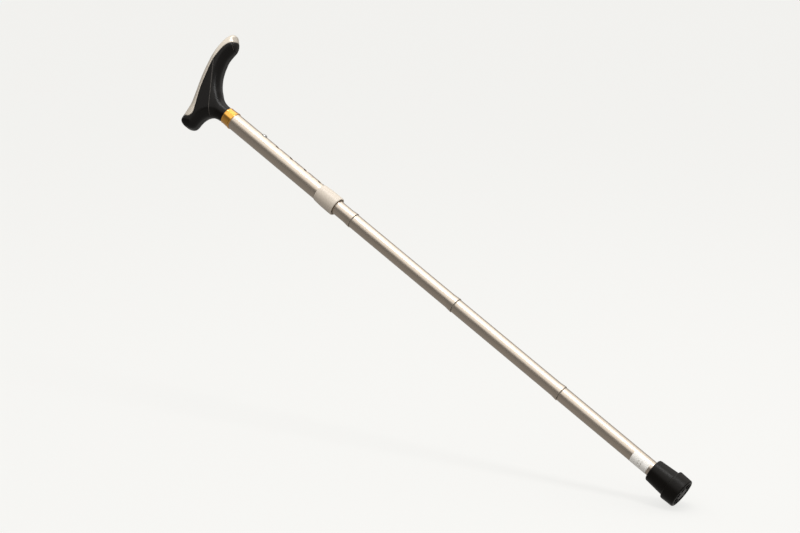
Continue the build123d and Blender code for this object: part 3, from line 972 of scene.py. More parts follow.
@dataclass
class Handle(SubAssembly):
    """Moulded palm handle: grip, top inlay, tip cap, and a mould line and cap seam on each side."""

    cell: float = 0.75
    line_radius: float = 0.4
    seam_radius: float = 0.28
    line_sides: int = 10
    line_sink: float = 0.35
    inlay_margin: float = 0.3  # kept clear of the inlay's edge by a line
    edge_margin: float = 0.8  # kept clear of the side view's edge by a line
    crease_range: Point = (0.02, 0.985)
    crease_points: int = 90
    low: Corner = (-48.0, -17.0, -7.0)
    high: Corner = (90.0, 17.0, 73.0)
    cap_low: Corner = (64.0, -17.0, 38.0)
    neck_z: float = 763.5
    form: HandleForm = field(
        default_factory=lambda: HandleForm(
            outline=[
                (-9.9, -16), (-9.9, -6), (-10.0, -0.5), (-11.2, 2.8), (-11.6, 5.8), (-12.5, 9.4),
                (-14.1, 13.0), (-16.5, 16.0), (-19.4, 18.5), (-22.8, 20.1), (-26.2, 21.1),
                (-29.3, 21.4), (-32.3, 21.5), (-36.0, 21.4), (-39.6, 22.2), (-42.3, 24.2),
                (-44.2, 27.1), (-45.3, 30.4), (-45.6, 34.0), (-45.0, 37.4), (-43.6, 40.6),
                (-41.0, 42.6), (-37.8, 43.3), (-32.3, 43.9), (-23.0, 45.2), (-14, 47.2), (4, 54.2),
                (21.5, 60.8), (40, 66.1), (48.8, 68.1), (57, 69.1), (64.5, 69.4), (71, 69.4),
                (77, 68.9), (82.4, 67.3), (85.9, 64.7), (86.9, 61.5), (86.0, 58.8), (83.9, 56.2),
                (82.1, 54.0), (79.7, 51.4), (76.2, 49.2), (71, 47.9), (64.1, 48.3), (57, 48.4),
                (52.2, 47.6), (48.1, 46.3), (44, 45), (40, 43.3), (35.6, 41.1), (31.1, 38.3),
                (26.2, 34.5), (21.6, 30.1), (18, 25.4), (14.9, 21), (12.8, 17.1), (11.5, 13.2),
                (10.7, 9.6), (10.4, 6.1), (10.3, 2.9), (9.9, -0.5), (9.9, -6), (9.9, -16),
            ],
            inlay_edge=[
                (-35.5, 50), (-35.0, 44), (-34.0, 38.6), (-32.0, 35.4), (-28.3, 33.7), (-24.0, 33.9),
                (-13.9, 38.6), (-2.9, 44.2), (8.5, 49.2), (18, 52.5), (27.4, 55.6), (36.9, 58.7),
                (44, 60.4), (53.7, 61.3), (65.6, 61.0), (73.9, 58.5), (79.9, 54.4), (84.2, 50.6),
                (95, 40),
            ],
            cap_edge=[
                (86, 69), (80, 61), (76.3, 56.4), (72.7, 52.1), (70.6, 49.2), (69.1, 45.0),
                (69.0, 40.8), (69.8, 36),
            ],
            crease=((46, 60.6), (-17.0, 13.5)),
        )
    )

    def build(self) -> None:
        """Builds the mouldings, the mould lines and the seams of the cap."""
        self.form.prepare()
        nodes = {
            HandlePart.GRIP: ("black_plastic", "handle_grip"),
            HandlePart.INLAY: ("silver_inlay", "handle_top_inlay"),
            HandlePart.CAP: ("black_cap", "handle_tip_cap"),
        }
        for which, (slot, node) in nodes.items():
            self.fit(self.moulding(which), slot, "handle_assembly", node)
        (ax, az), (bx, bz) = self.form.crease
        t = np.linspace(*self.crease_range, self.crease_points)
        crease = np.stack([ax + (bx - ax) * t, az + (bz - az) * t], 1)
        seam = smooth_through(self.form.cap_edge, 12)
        lines = (("mould_line", crease, self.line_radius), ("cap_seam", seam, self.seam_radius))
        for side, name in ((-1, "right"), (1, "left")):
            for kind, path, size in lines:
                line = self.raised_line(f"handle_{kind}_{name}", path, side, size)
                # Mould lines and cap seams are dressed in grey nylon, a painted highlight for the glint
                # along their crests.
                self.dress(line, "painted_highlight_line")
                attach(line, "handle_assembly")
                self.declare(line, "black_plastic")

    def moulding(self, which: HandlePart) -> bpy.types.Object:
        """Meshes one moulding. Returns its object."""
        low = self.cap_low if which is HandlePart.CAP else self.low
        points, faces = surface_net(lambda p: self.form.part(which, p), low, self.high, self.cell)
        points[:, 2] += self.neck_z
        return new_object(which.value, points, faces)

    def raised_line(self, name: str, line: np.ndarray, side: int, radius: float) -> bpy.types.Object:
        """Fine raised line on one side of the handle.

        Args:
            name: Name of the piece.
            line: Places of its side view along the line.
            side: 1 for the +Y side, -1 for the other.
            radius: Radius of the line.

        Returns:
            The line's object.
        """
        x, z = line.T
        off_inlay = self.form.read("inlay", x, z) > self.inlay_margin
        keep = off_inlay & (self.form.read("side", x, z) < -self.edge_margin)
        x, z = x[keep], z[keep]
        y = self.form.half_width(x, z)
        path = np.stack([x, side * y, z + self.neck_z], 1)
        along = np.gradient(path, axis=0)
        along /= np.linalg.norm(along, axis=1)[:, None]
        out = np.array([0.0, side, 0.0]) - along * along[:, 1:2] * side
        out /= np.linalg.norm(out, axis=1)[:, None]
        beside = np.cross(along, out)
        angle = np.arange(self.line_sides) * 2 * math.pi / self.line_sides
        loops = []
        for index, (place, up, right) in enumerate(zip(path, out, beside)):
            taper = min(1.0, 0.25 + 0.25 * min(index, len(path) - 1 - index))
            size = radius * taper
            ring = np.outer(np.cos(angle), up) * size + np.outer(np.sin(angle), right) * size
            loops.append(place - up * size * self.line_sink + ring)
        points, faces = strip(loops, around=True)
        last = (len(loops) - 1) * self.line_sides
        faces += [list(range(self.line_sides)), [last + k for k in range(self.line_sides)]]
        return new_object(name, points, faces)


@dataclass
class NeckRing(SubAssembly):
    """Turned and polished ring over the joint of neck and upper tube, with a bead at each end."""

    bead: float = 0.35

    def build(self) -> None:
        """Builds the ring from its CAD span."""
        span = Span.of("neck_ring")
        low, high, wide = span.low[2], span.high[2], span.high[0]
        bore = Span.of("upper_tube").high[0] + 0.05
        narrow = wide - 0.55
        profile = rounded(
            [
                (bore, low, 0.1),
                (wide - 0.2, low, 0.25),
                (wide, low + 0.6, 0.4),
                (wide, low + 1.3, 0.4),
                (wide - self.bead, low + 1.9, 0.5),
                (narrow - self.bead + 0.1, high - 1.9, 0.5),
                (narrow, high - 1.3, 0.4),
                (narrow, high - 0.5, 0.4),
                (narrow - 0.5, high, 0.25),
                (bore - 0.9, high, 0.1),
                (bore - 0.9, high - 5.4, 0.0),
                (bore, high - 5.4, 0.0),
            ]
        )
        self.fit(lathe("polished_neck_ring", profile), "gold_ring", "handle_assembly", "neck_ring")


@dataclass
class Tubes(SubAssembly):
    """The two height tubes, the folding sections, their tenons and the snap button."""

    wall: float = 1.2
    flare: float = 0.8
    flare_length: float = 9.0
    hole_radius: float = 4.1
    hole_pitch: float = 25.4
    hole_count: int = 5
    hole_chamfer: float = 0.25
    hole_angle: float = -10.0
    button_tip: float = 12.6
    button_back: float = 5.5
    patch_cells: int = 12
    band_levels: int = 12

    def build(self) -> None:
        """Builds every tube and what joins them."""
        button = Span.of("snap_button")
        button_z = (button.low[2] + button.high[2]) / 2
        self.upper_tube(button_z)
        self.inner_tube(button_z)
        self.button(button_z)
        for name, node in (("upper", "upper_section_tube"), ("middle", "middle_section_tube")):
            span = Span.of(node)
            radius = span.high[0] - self.flare
            profile = self.rim(radius, span.low[2]) + self.end(radius, span.high[2])
            self.fit(lathe(f"{name}_section", profile), "anodised_silver", f"{name}_section", node)
        span = Span.of("lower_section_tube")
        radius = span.high[0]
        profile = self.end(radius, span.low[2], -1)[::-1] + self.end(radius, span.high[2])
        self.fit(lathe("lower_section", profile), "anodised_silver", "lower_section", "lower_section_tube")
        for name in ("upper", "middle", "lower"):
            self.tenon(name)

    def rim(self, radius: float, low: float) -> list[Point]:
        """Outer and inner profile of a flared lower end, from outside to inside."""
        out, inner = radius + self.flare, radius - self.wall
        curve = [
            (radius, low + self.flare_length + 1.5, 0.0),
            (radius, low + self.flare_length, 1.5),
            (out - 0.12, low + 2.0, 1.2),
            (out, low + 0.9, 0.5),
            (out, low, 0.3),
            (inner + self.flare, low, 0.3),
            (inner + self.flare, low + 0.8, 0.8),
            (inner, low + self.flare_length, 1.5),
            (inner, low + self.flare_length + 1.5, 0.0),
        ]
        return rounded(curve, closed=False)

    def end(self, radius: float, edge: float, side: int = 1) -> list[Point]:
        """Profile of a plain end from inside to outside. The side is 1 for an upper end, or -1."""
        inner, back = radius - self.wall, edge - 3 * side
        curve = [(inner, back, 0.0), (inner, edge, 0.3), (radius, edge, 0.35), (radius, back, 0.0)]
        return rounded(curve, closed=False)

    def tube_with_holes(
        self,
        name: str,
        radius: float,
        hole_radius: float,
        holes: tuple[float, int],
        foot: list[Point],
        head: list[Point],
    ) -> bpy.types.Object:
        """Tube whose front side has round holes with a fine chamfer.

        Args:
            name: Name of the piece.
            radius: Outer radius.
            hole_radius: Radius of a hole.
            holes: Height of the lowest hole, and the number of holes.
            foot: Profile of the lower end, from outside to inside.
            head: Profile of the upper end, from inside to outside.

        Returns:
            The tube's object.
        """
        first, count = holes
        points, faces = self.band(radius, hole_radius, first)
        band = new_object(f"{name}_band", self.turned(points), faces)
        self.dress(band, "anodised_silver")
        bands = mesh_parts(repeat(band, Layout.ALONG, count, self.hole_pitch))
        low = first - self.hole_pitch / 2
        high = low + self.hole_pitch * count
        inner = radius - self.wall
        lower, lower_faces = revolved([(radius, low)] + foot + [(inner, low)], closed=False)
        upper, upper_faces = revolved([(inner, high)] + head + [(radius, high)], closed=False)
        ends = ((self.turned(lower), lower_faces), (self.turned(upper), upper_faces))
        return new_object(name, *joined(bands, *ends))

    def turned(self, points: np.ndarray) -> np.ndarray:
        """Points turned round the shaft to the side that the snap holes face."""
        angle = math.radians(self.hole_angle)
        c, s = math.cos(angle), math.sin(angle)
        return points @ np.array([[c, s, 0], [-s, c, 0], [0, 0, 1]])

    def band(self, radius: float, hole: float, middle: float) -> Mesh:
        """One pitch of tube wall with a hole in its front.

        Args:
            radius: Outer radius of the tube.
            hole: Radius of the hole.
            middle: Height of the hole's centre.

        Returns:
            Vertices and faces, open at the top and bottom.
        """
        cells, levels = self.patch_cells, self.band_levels
        turn, rise = 2 * math.pi / AROUND, self.hole_pitch / levels
        side = [(-cells * turn, (k - levels / 2) * rise) for k in range(levels)]
        over = [(k * turn, levels / 2 * rise) for k in range(-cells, cells)]
        edge = np.array(side + over + [(-a, -z) for a, z in side + over])
        heading = np.arctan2(edge[:, 1], edge[:, 0] * radius)

        def wrapped(angle: np.ndarray, height: np.ndarray, size: float) -> np.ndarray:
            """Points on a cylinder of that size."""
            return np.stack([size * np.cos(angle), size * np.sin(angle), height + middle], 1)

        def skin(size: float, opening: float) -> list[np.ndarray]:
            """Loops on one wall surface from the patch's edge to the opening."""
            start = np.stack(
                [np.arcsin(opening * np.cos(heading) / size), opening * np.sin(heading)], 1
            )
            mixed = [start + (edge - start) * t for t in (1.0, 0.6, 0.32, 0.14, 0.04, 0.0)]
            return [wrapped(loop[:, 0], loop[:, 1], size) for loop in mixed]

        def bore(depth: float) -> np.ndarray:
            """Loop on the hole's straight wall, at a depth below the outer surface."""
            y, z = hole * np.cos(heading), hole * np.sin(heading)
            return np.stack([np.sqrt(radius**2 - y**2) - depth, y, z + middle], 1)

        chamfer, inner = self.hole_chamfer, radius - self.wall
        loops = skin(radius, hole + chamfer)
        loops += [bore(chamfer), bore(chamfer + 0.08), bore(self.wall - 0.15)]
        loops += skin(inner, hole)[::-1]
        patch = strip(loops, around=True)
        angles = np.arange(cells, AROUND - cells + 1) * turn
        heights = (np.arange(levels + 1) - levels / 2) * rise
        walls = [
            strip([wrapped(angles, np.full(len(angles), z), size) for z in heights], around=False)
            for size in (radius, inner)
        ]
        return joined(patch, *walls)

    def upper_tube(self, button_z: float) -> None:
        """Builds the height tube with its row of snap holes."""
        span = Span.of("upper_tube")
        low, radius = span.low[2], span.high[0]
        inner = radius - self.wall
        foot = rounded(
            [(radius, low + 3, 0), (radius, low, 0.3), (inner, low, 0.3), (inner, low + 3, 0)],
            closed=False,
        )
        first = button_z - (self.hole_count - 1) * self.hole_pitch
        piece = self.tube_with_holes(
            "height_tube",
            radius,
            self.hole_radius,
            (first, self.hole_count),
            foot,
            self.end(radius, span.high[2]),
        )
        self.fit(piece, "anodised_silver", "handle_assembly", "upper_tube")

    def inner_tube(self, button_z: float) -> None:
        """Builds the sliding tube with its button hole and flared rim."""
        span = Span.of("inner_tube")
        radius = span.high[0] - self.flare
        piece = self.tube_with_holes(
            "sliding_tube",
            radius,
            self.hole_radius - 0.15,
            (button_z, 1),
            self.rim(radius, span.low[2]),
            self.end(radius, span.high[2]),
        )
        self.fit(piece, "anodised_silver", "inner_tube", "inner_tube")

    def button(self, button_z: float) -> None:
        """Builds the domed snap button with the flange behind it."""
        span = Span.of("snap_button")
        tip, back = self.button_tip, self.button_back
        flange, size = (span.high[2] - span.low[2]) / 2, self.hole_radius - 0.3
        profile = [(0.0, back), (flange - 0.2, back), (flange, back + 0.2), (flange, back + 0.8)]
        profile += [(flange - 0.2, back + 1.0), (size + 0.05, back + 1.0), (size, back + 1.1)]
        rise = 2.2
        arc = np.linspace(0, math.pi / 2, 12)
        profile += [(size, tip - rise - 0.3)]
        profile += [(size * math.cos(a) ** 0.8, tip - rise + rise * math.sin(a)) for a in arc[:-1]]
        profile += [(0.0, tip)]
        points, faces = revolved(profile, closed=False)
        outward = self.turned(np.stack([points[:, 2], points[:, 1], button_z - points[:, 0]], 1))
        self.fit(new_object("domed_snap_button", outward, faces), "steel", "snap_button", "snap_button")

    def tenon(self, name: str) -> None:
        """Builds one tenon: collar in the joint, spigot below it and sleeve above it."""
        span = Span.of(f"{name}_tenon")
        low, high, collar = span.low[2], span.high[2], span.high[0]
        sleeve, spigot, bore = collar - 0.9, collar - 1.2, collar - 2.4
        collar_low = low + 4.0
        profile = rounded(
            [
                (bore, low, 0.2),
                (spigot - 0.5, low, 0.2),
                (spigot, low + 0.8, 0.2),
                (spigot, collar_low, 0.0),
                (collar, collar_low, 0.15),
                (collar, collar_low + 1.0, 0.15),
                (sleeve, collar_low + 1.0, 0.0),
                (sleeve, high - 1.0, 0.4),
                (sleeve - 0.6, high, 0.2),
                (bore, high, 0.2),
            ]
        )
        self.fit(lathe(f"{name}_joint_tenon", profile), "grey_plastic", f"{name}_tenon", f"{name}_tenon")


@dataclass
class LockNut(SubAssembly):
    """Smooth moulded nut that locks the sliding tube, with a rolled mouth."""

    lip: float = 1.5
    mouth_gap: float = 1.4

    def build(self) -> None:
        """Builds the nut from its CAD span."""
        span = Span.of("lock_nut")
        low, high, radius = span.low[2], span.high[2], span.high[0]
        upper = Span.of("upper_tube").high[0]
        mouth = Span.of("lower_section_tube").high[0] + self.mouth_gap
        height = high - low
        corners = [
            (mouth, low + 0.45, 0.4),
            (mouth + 0.45, low, 0.4),
            (radius - 0.7, low, 0.6),
            (radius - 0.06, low + 1.0, 0.8),
            (radius, low + height * 0.3, 5.0),
            (radius - 0.22, low + height * 0.66, 6.0),
            (upper + 0.78, high - 0.9, 0.7),
            (upper + 0.35, high, 0.25),
            (upper + 0.15, high, 0.0),
            (upper + 0.15, high - 1.2, 0.0),
            (radius - 1.0, high - 1.6, 0.0),
            (radius - 1.0, low + self.lip, 0.0),
            (mouth, low + self.lip, 0.2),
        ]
        nut = lathe("height_lock_nut", rounded(corners, steps=6))
        self.fit(nut, "beige_plastic", "lock_nut", "lock_nut")


@dataclass
class Foot(SubAssembly):
    """Rubber ferrule with ring grooves and webs in its sole, and the paper label above it."""

    sole: float = 8.0
    groove_depth: float = 2.2
    webs: int = 8
    web_width: float = 2.2
    body_wall: float = 6.8
    top_wall: float = 4.75
    flange_height: float = 18.0
    label_gap: float = 4.0
    label_height: float = 24.0
    label_start: float = 184.5
    label_arc: float = 105.0

    def build(self) -> None:
        """Builds the ferrule, its webs and the label."""
        span = Span.of("ferrule")
        high, flange = span.high[2], span.high[0]
        tube = Span.of("lower_section_tube").high[0]
        body, top = tube + self.body_wall, tube + self.top_wall
        corners = [(0.0, 0.0, 0.0)]
        start, stop = flange * 0.42, flange * 0.8
        corners += [(start, 0.0, 0.4), (start + 0.2, self.groove_depth, 0.4)]
        corners += [(stop - 0.2, self.groove_depth, 0.4), (stop, 0.0, 0.4)]
        corners += [
            (flange - 1.6, 0.0, 0.5),
            (flange - 0.5, 1.2, 0.9),
            (flange, self.flange_height - 1.8, 0.6),
            (flange - 0.35, self.flange_height - 0.4, 0.7),
            (flange - 1.5, self.flange_height, 0.6),
            (body, self.flange_height + 0.5, 0.9),
            (top, high - 1.2, 0.9),
            (top - 1.2, high, 0.6),
            (tube + 0.02, high, 0.2),
            (tube + 0.02, self.sole, 0.0),
            (0.0, self.sole, 0.0),
        ]
        piece = lathe("rubber_ferrule", rounded(corners, closed=False), closed=False)
        self.fit(piece, "rubber", "lower_section", "ferrule")
        self.web_ring(start, stop)
        self.label(tube, high + self.label_gap, self.label_height)

    def web_ring(self, start: float, stop: float) -> None:
        """Bridges the sole's groove with evenly spaced rounded webs.

        Args:
            start: Inner radius of the groove.
            stop: Outer radius of the groove.
        """
        half, width = (stop - start) / 2 + 0.3, self.web_width / 2
        root, depth = width + 0.2, self.groove_depth + 0.2
        section = rounded(
            [(width, 0.12, 0.4), (-width, 0.12, 0.4), (-root, depth, 0.0), (root, depth, 0.0)]
        )
        loops = [np.array([(x, y, z) for y, z in section]) for x in (-half, half)]
        points, faces = strip(loops, around=True)
        count = len(section)
        faces += [list(range(count)), list(range(count, 2 * count))]
        web = new_object("sole_webs", points, faces)
        self.dress(web, "rubber")
        repeat(web, Layout.ROUND, self.webs, (start + stop) / 2)
        self.fit(web, "rubber", "lower_section")

    def label(self, tube: float, low: float, height: float) -> None:
        """Paper label that wraps part of the way round the lowest tube.

        Args:
            tube: Outer radius of the tube.
            low: Height of the label's lower edge.
            height: Height of the label.
        """
        inner, outer = tube + 0.02, tube + 0.14
        angles = np.radians(self.label_start + np.linspace(0, self.label_arc, 41))
        corner = 0.5
        loops = []
        for index, angle in enumerate(angles):
            edge = min(index, len(angles) - 1 - index) * math.radians(self.label_arc / 40) * tube
            drop = corner - math.sqrt(max(corner**2 - max(corner - edge, 0) ** 2, 0))
            c, s = math.cos(angle), math.sin(angle)
            a, b = low + drop, low + height - drop
            middle = (a + b) / 2
            heights = [a, a, a + 0.2, middle, b - 0.2, b, b, middle]
            sizes = [inner, outer, outer, outer, outer, outer, inner, inner]
            loops.append(np.array([(r * c, r * s, z) for r, z in zip(sizes, heights)]))
        points, faces = strip(loops, around=True)
        for first in (0, (len(loops) - 1) * 8):
            faces += [[first + k for k in end] for end in ((0, 1, 2, 7), (2, 3, 4, 7), (4, 5, 6, 7))]
        piece = new_object("size_label_paper", points, faces)
        layer = piece.data.uv_layers.new(name="label")
        for loop in piece.data.loops:
            place = piece.data.vertices[loop.vertex_index].co / MM
            angle = math.degrees(math.atan2(place.y, place.x)) % 360
            u = (angle - self.label_start) / self.label_arc
            layer.data[loop.index].uv = (u, (place.z - low) / height)
        self.fit(piece, "paper", "lower_section", "size_label")


@dataclass
class ShockCord(SubAssembly):
    """Elastic cord inside the shaft, in lengths that meet at each joint."""

    sides: int = 24
    join: float = 40.0  # above a rim, where two lengths meet
    tail: float = 12.0  # below a rim, where its lower length ends
    first_zone: Point = (62.0, 48.0)  # above the top rim, where the first length's rings lie closer
    leave: float = 16.0  # below a rim, where the closer rings of a later first length start
    follow: float = 50.0  # above the next rim, where those closer rings end
    sleeve_end: float = 5.0
    bend_length: float = 4.0

    def build(self) -> None:
        """Builds six lengths of cord, from the anchor down to the foot."""
        span = Span.of("shock_cord")
        radius = span.high[0]
        upper = Span.of("inner_tube").low[2]
        middle = Span.of("upper_section_tube").low[2]
        lower = Span.of("middle_section_tube").low[2]
        top, bottom = span.high[2], span.low[2]
        above = "inner_tube"
        ceiling = top
        start, stop = (upper + height for height in self.first_zone)
        for index, (name, rim) in enumerate((("upper", upper), ("middle", middle), ("lower", lower))):
            tenon, section = f"{name}_tenon", f"{name}_section"
            first, second = (f"shock_cord_{2 * index + k}" for k in (1, 2))
            meeting = rim + self.join
            self.length(first, radius, (ceiling, meeting), (above, tenon), (start, stop))
            floor = bottom if name == "lower" else rim - self.tail
            bend = rim - self.sleeve_end
            zone = (bend, bend - self.bend_length)
            self.length(second, radius, (meeting, floor), (tenon, section), zone)
            above, ceiling, start = section, floor, rim - self.leave
            stop = (middle if name == "upper" else lower) + self.follow

    def length(self, name: str, radius: float, ends: Point, bodies: tuple[str, str], zone: Point) -> None:
        """One straight length of cord, with closer rings over its zone.

        Args:
            name: Name of the piece.
            radius: Radius of the cord.
            ends: Heights of its upper and its lower end.
            bodies: Not used.
            zone: Heights between which its rings lie closer.
        """
        (high, low), (start, stop) = ends, zone
        plain = np.arange(low, high, 3.0)
        blend = np.linspace(min(start, stop) - 0.5, max(start, stop) + 0.5, 41)
        outside = plain[(plain < blend[0] - 0.2) | (plain > blend[-1] + 0.2)]
        heights = np.unique(np.concatenate([outside, blend, [low, high]]))
        heights = heights[(heights >= low) & (heights <= high)]
        angle = np.arange(self.sides) * 2 * math.pi / self.sides
        loops = [
            np.stack([radius * np.cos(angle), radius * np.sin(angle), np.full(self.sides, z)], 1)
            for z in heights
        ]
        points, faces = strip(loops, around=True)
        count = len(points)
        points = np.vstack([points, [(0, 0, low), (0, 0, high)]])
        top = count - self.sides
        for k in range(self.sides):
            after = (k + 1) % self.sides
            faces += [[count, after, k], [count + 1, top + k, top + after]]
        piece = new_object(name, points, faces)
        layer = piece.data.uv_layers.new(name="braid")
        circumference = 2 * math.pi * radius * MM
        for polygon in piece.data.polygons:
            turns = []
            for index in polygon.loop_indices:
                place = piece.data.vertices[piece.data.loops[index].vertex_index].co
                turns.append((math.atan2(place.y, place.x) / (2 * math.pi)) % 1.0)
            wraps = max(turns) - min(turns) > 0.5
            for index, turn in zip(polygon.loop_indices, turns):
                place = piece.data.vertices[piece.data.loops[index].vertex_index].co
                u = turn + 1.0 if wraps and turn < 0.5 else turn
                layer.data[index].uv = (u * circumference, place.z)
        self.dress(piece, "cord")
        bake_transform(piece)
        self.declare(piece, "cord", "shock_cord")


@dataclass
class Fittings(SubAssembly):
    """CAD nodes whose shape is already right: they keep it and get their finish."""

    nodes: dict[str, bpy.types.Object]
    slots: dict[str, str]
    spring_leg: float = 4.9

    def build(self) -> None:
        """Dresses every CAD node that is still shown."""
        self.spring()
        for name, node in self.nodes.items():
            if node.hide_render:
                continue
            self.dress(node, self.slots[name])
            LOG.info("%s keeps its CAD mesh, %s", name, self.slots[name])

    def spring(self) -> None:
        """Copies the button's spring, merges its vertices and dresses it; the copy does not bend with the
        button.
        """
        piece = bpy.data.objects.new("button_leaf_spring", self.nodes["button_spring"].data.copy())
        bpy.context.scene.collection.objects.link(piece)
        mesh = bmesh.new()
        mesh.from_mesh(piece.data)
        bmesh.ops.remove_doubles(mesh, verts=mesh.verts, dist=0.001 * MM)
        mesh.to_mesh(piece.data)
        mesh.free()
        self.dress(piece, "spring_steel")
        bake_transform(piece)
        self.declare(piece, "spring_steel", "button_spring")


# ------------------------------------------------------------------ studio
@dataclass
class Studio:
    """Camera, pale floor, surroundings and soft lights."""

    elevation: float = -20.0
    roll: float = 50.18
    target: tuple[float, float, float] = (-6.8, 0.0, 448.0)
    distance: float = 2475.0
    lens: float = 90.0
    floor_gap: float = 16.5  # from the foot's middle down to the floor
    floor_reach: float = 8000.0

    def axes(self) -> tuple[Vector, Vector, Vector]:
        """The camera's right, up and forward directions."""
        lift = math.radians(self.elevation)
        turn = math.radians(self.roll)
        forward = Vector((0, math.cos(lift), -math.sin(lift)))
        level_up = Vector((0, math.sin(lift), math.cos(lift)))
        level_right = Vector((1, 0, 0))
        right = math.cos(turn) * level_right - math.sin(turn) * level_up
        up = math.sin(turn) * level_right + math.cos(turn) * level_up
        return right, up, forward

    def build(self) -> None:
        """Builds the whole studio."""
        bpy.context.scene.view_settings.view_transform = "Standard"
        self.camera()
        self.floor()
        self.world()
        right, up, forward = self.axes()
        middle = Vector((0, 0, 0.42))
        beside = middle + Vector((1.5, -0.95, 0.35))
        overhead = middle + 1.7 * up + 0.4 * right + 0.3 * forward
        self.light("tall_softbox", beside, middle, (0.4, 1.7), 17.0)
        self.light("overhead_softbox", overhead, middle, (1.3, 1.3), 3.0)

    def camera(self) -> None:
        """Adds the camera and makes it the scene's."""
        data = bpy.data.cameras.new("camera")
        data.lens, data.sensor_width = self.lens, 36.0
        data.clip_start, data.clip_end = 0.05, 30.0
        camera = bpy.data.objects.new("camera", data)
        bpy.context.scene.collection.objects.link(camera)
        right, up, forward = self.axes()
        place = (Vector(self.target) - forward * self.distance) * MM
        turn = Matrix((right, up, -forward)).transposed()
        camera.matrix_world = Matrix.Translation(place) @ turn.to_4x4()
        bpy.context.scene.camera = camera

    def floor(self) -> None:
        """Adds the pale floor, seen from its upper side only, that takes the foot's soft shadow."""
        _, up, forward = self.axes()
        normal = (0.975 * up - 0.22 * forward).normalized()
        side = normal.orthogonal().normalized()
        other = normal.cross(side)
        foot = -normal * self.floor_gap * MM
        size = self.floor_reach * MM
        signs = ((-1, -1), (1, -1), (1, 1), (-1, 1))
        corners = [foot + size * (a * side + b * other) for a, b in signs]
        mesh = bpy.data.meshes.new("studio_floor")
        mesh.from_pydata([tuple(corner) for corner in corners], [], [(0, 1, 2, 3)])
        floor = bpy.data.objects.new("studio_floor", mesh)
        bpy.context.scene.collection.objects.link(floor)
        material = bpy.data.materials.new("studio_paper")
        material.use_nodes = True
        tree = material.node_tree
        tree.nodes.clear()
        matt = add_node(tree, "ShaderNodeBsdfDiffuse", {"Color": linear("F2F1EE")})
        glow = add_node(tree, "ShaderNodeEmission", {"Color": linear("FBFBF9"), "Strength": 0.905})
        both = add_node(tree, "ShaderNodeMixShader", {0: 0.14, 1: glow.outputs[0], 2: matt.outputs[0]})
        clear = add_node(tree, "ShaderNodeBsdfTransparent")
        facing = add_node(tree, "ShaderNodeNewGeometry")
        one_side = add_node(
            tree,
            "ShaderNodeMixShader",
            {0: facing.outputs["Backfacing"], 1: both.outputs[0], 2: clear.outputs[0]},
        )
        add_node(tree, "ShaderNodeOutputMaterial", {"Surface": one_side.outputs[0]})
        mesh.materials.append(material)
        floor.visible_glossy = False
        floor.visible_diffuse = False

    def world(self) -> None:
        """Sets the surroundings: pale behind the cane, bright on one side and dim on the other."""
        world = bpy.data.worlds.new("studio")
        bpy.context.scene.world = world
        world.use_nodes = True
        tree = world.node_tree
        tree.nodes.clear()
        place = add_node(tree, "ShaderNodeTexCoord")
        parts = add_node(tree, "ShaderNodeSeparateXYZ", {"Vector": place.outputs["Generated"]})
        across = add_node(
            tree,
            "ShaderNodeMapRange",
            {"Value": parts.outputs[0], "From Min": -1.0, "From Max": 1.0, "To Min": 0.0, "To Max": 1.0},
        )
        sides = add_node(tree, "ShaderNodeValToRGB", {"Fac": across.outputs[0]})
        stops = sides.color_ramp.elements
        stops[0].position, stops[0].color = 0.0, (0.38, 0.355, 0.33, 1)
        stops[1].position, stops[1].color = 1.0, (1.4, 1.36, 1.3, 1)
        for position, level in ((0.22, 0.25), (0.38, 0.15), (0.46, 0.5), (0.55, 1.5)):
            stop = stops.new(position)
            stop.color = (level, level * 0.97, level * 0.93, 1)
        colour = sides.outputs[0]
        # A dim strip behind the cane draws its edges, and a pale floor lights its lower rims.
        for axis, low, high, level in ((1, 0.2, 0.75, 0.42), (2, -0.05, -0.3, 0.5)):
            share = add_node(
                tree,
                "ShaderNodeMapRange",
                {"Value": parts.outputs[axis], "From Min": low, "From Max": high},
                interpolation_type="SMOOTHSTEP",
            )
            layer = add_node(
                tree,
                "ShaderNodeMix",
                {0: share.outputs[0], 6: colour, 7: (level, level * 0.97, level * 0.93, 1)},
                data_type="RGBA",
            )
            colour = layer.outputs[2]
        seen = add_node(tree, "ShaderNodeBackground", {"Color": linear("FBFBFA"), "Strength": 1.0})
        lit = add_node(tree, "ShaderNodeBackground", {"Color": colour, "Strength": 1.0})
        rays = add_node(tree, "ShaderNodeLightPath")
        mixed = add_node(
            tree,
            "ShaderNodeMixShader",
            {0: rays.outputs["Is Camera Ray"], 1: lit.outputs[0], 2: seen.outputs[0]},
        )
        add_node(tree, "ShaderNodeOutputWorld", {"Surface": mixed.outputs[0]})

    def light(
        self, name: str, place: Vector, target: Vector, size: tuple[float, float], power: float
    ) -> None:
        """Adds a soft rectangular light, unseen by the camera.

        Args:
            name: Name of the light.
            place: Where it stands, in metres.
            target: What it faces.
            size: Width and height, in metres.
            power: Watts.
        """
        data = bpy.data.lights.new(name, "AREA")
        data.shape = "RECTANGLE"
        data.size, data.size_y = size
        data.energy = power
        lamp = bpy.data.objects.new(name, data)
        bpy.context.scene.collection.objects.link(lamp)
        back = (place - target).normalized()
        side = Vector((0, 0, 1)).cross(back).normalized()
        turn = Matrix((side, back.cross(side), back)).transposed()
        lamp.matrix_world = Matrix.Translation(place) @ turn.to_4x4()
        lamp.visible_camera = False


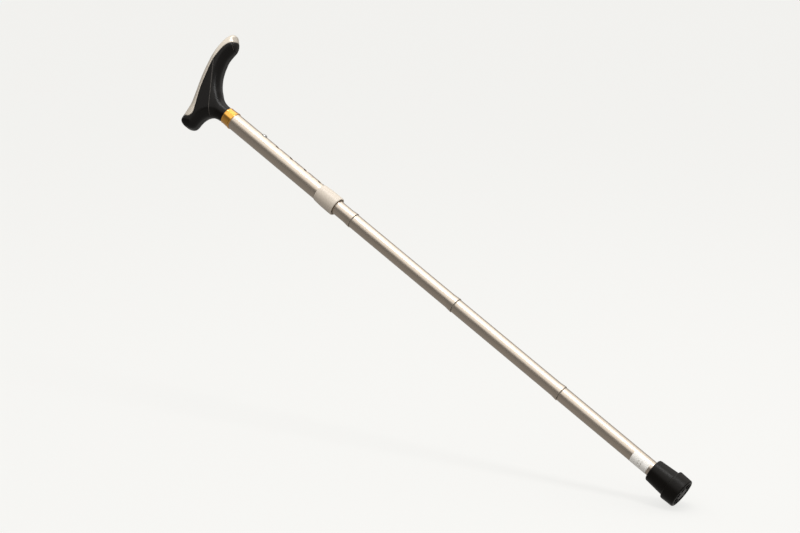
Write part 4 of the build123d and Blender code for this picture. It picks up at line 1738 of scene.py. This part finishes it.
def main() -> None:
    """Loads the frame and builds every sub-assembly around it."""
    logging.basicConfig(level=logging.INFO, format="%(message)s")
    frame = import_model()
    slots = {row["node"]: row["material_slot"] for row in frame["record"]["subparts"]}
    Studio().build()
    finishes = {slot: finish.build() for slot, finish in FINISHES.items()}
    for assembly in (
        Handle(finishes),
        NeckRing(finishes),
        Tubes(finishes),
        LockNut(finishes),
        Foot(finishes),
        ShockCord(finishes),
        Fittings(finishes, frame["nodes"], slots),
    ):
        assembly.build()


if __name__ == "__main__":
    main()
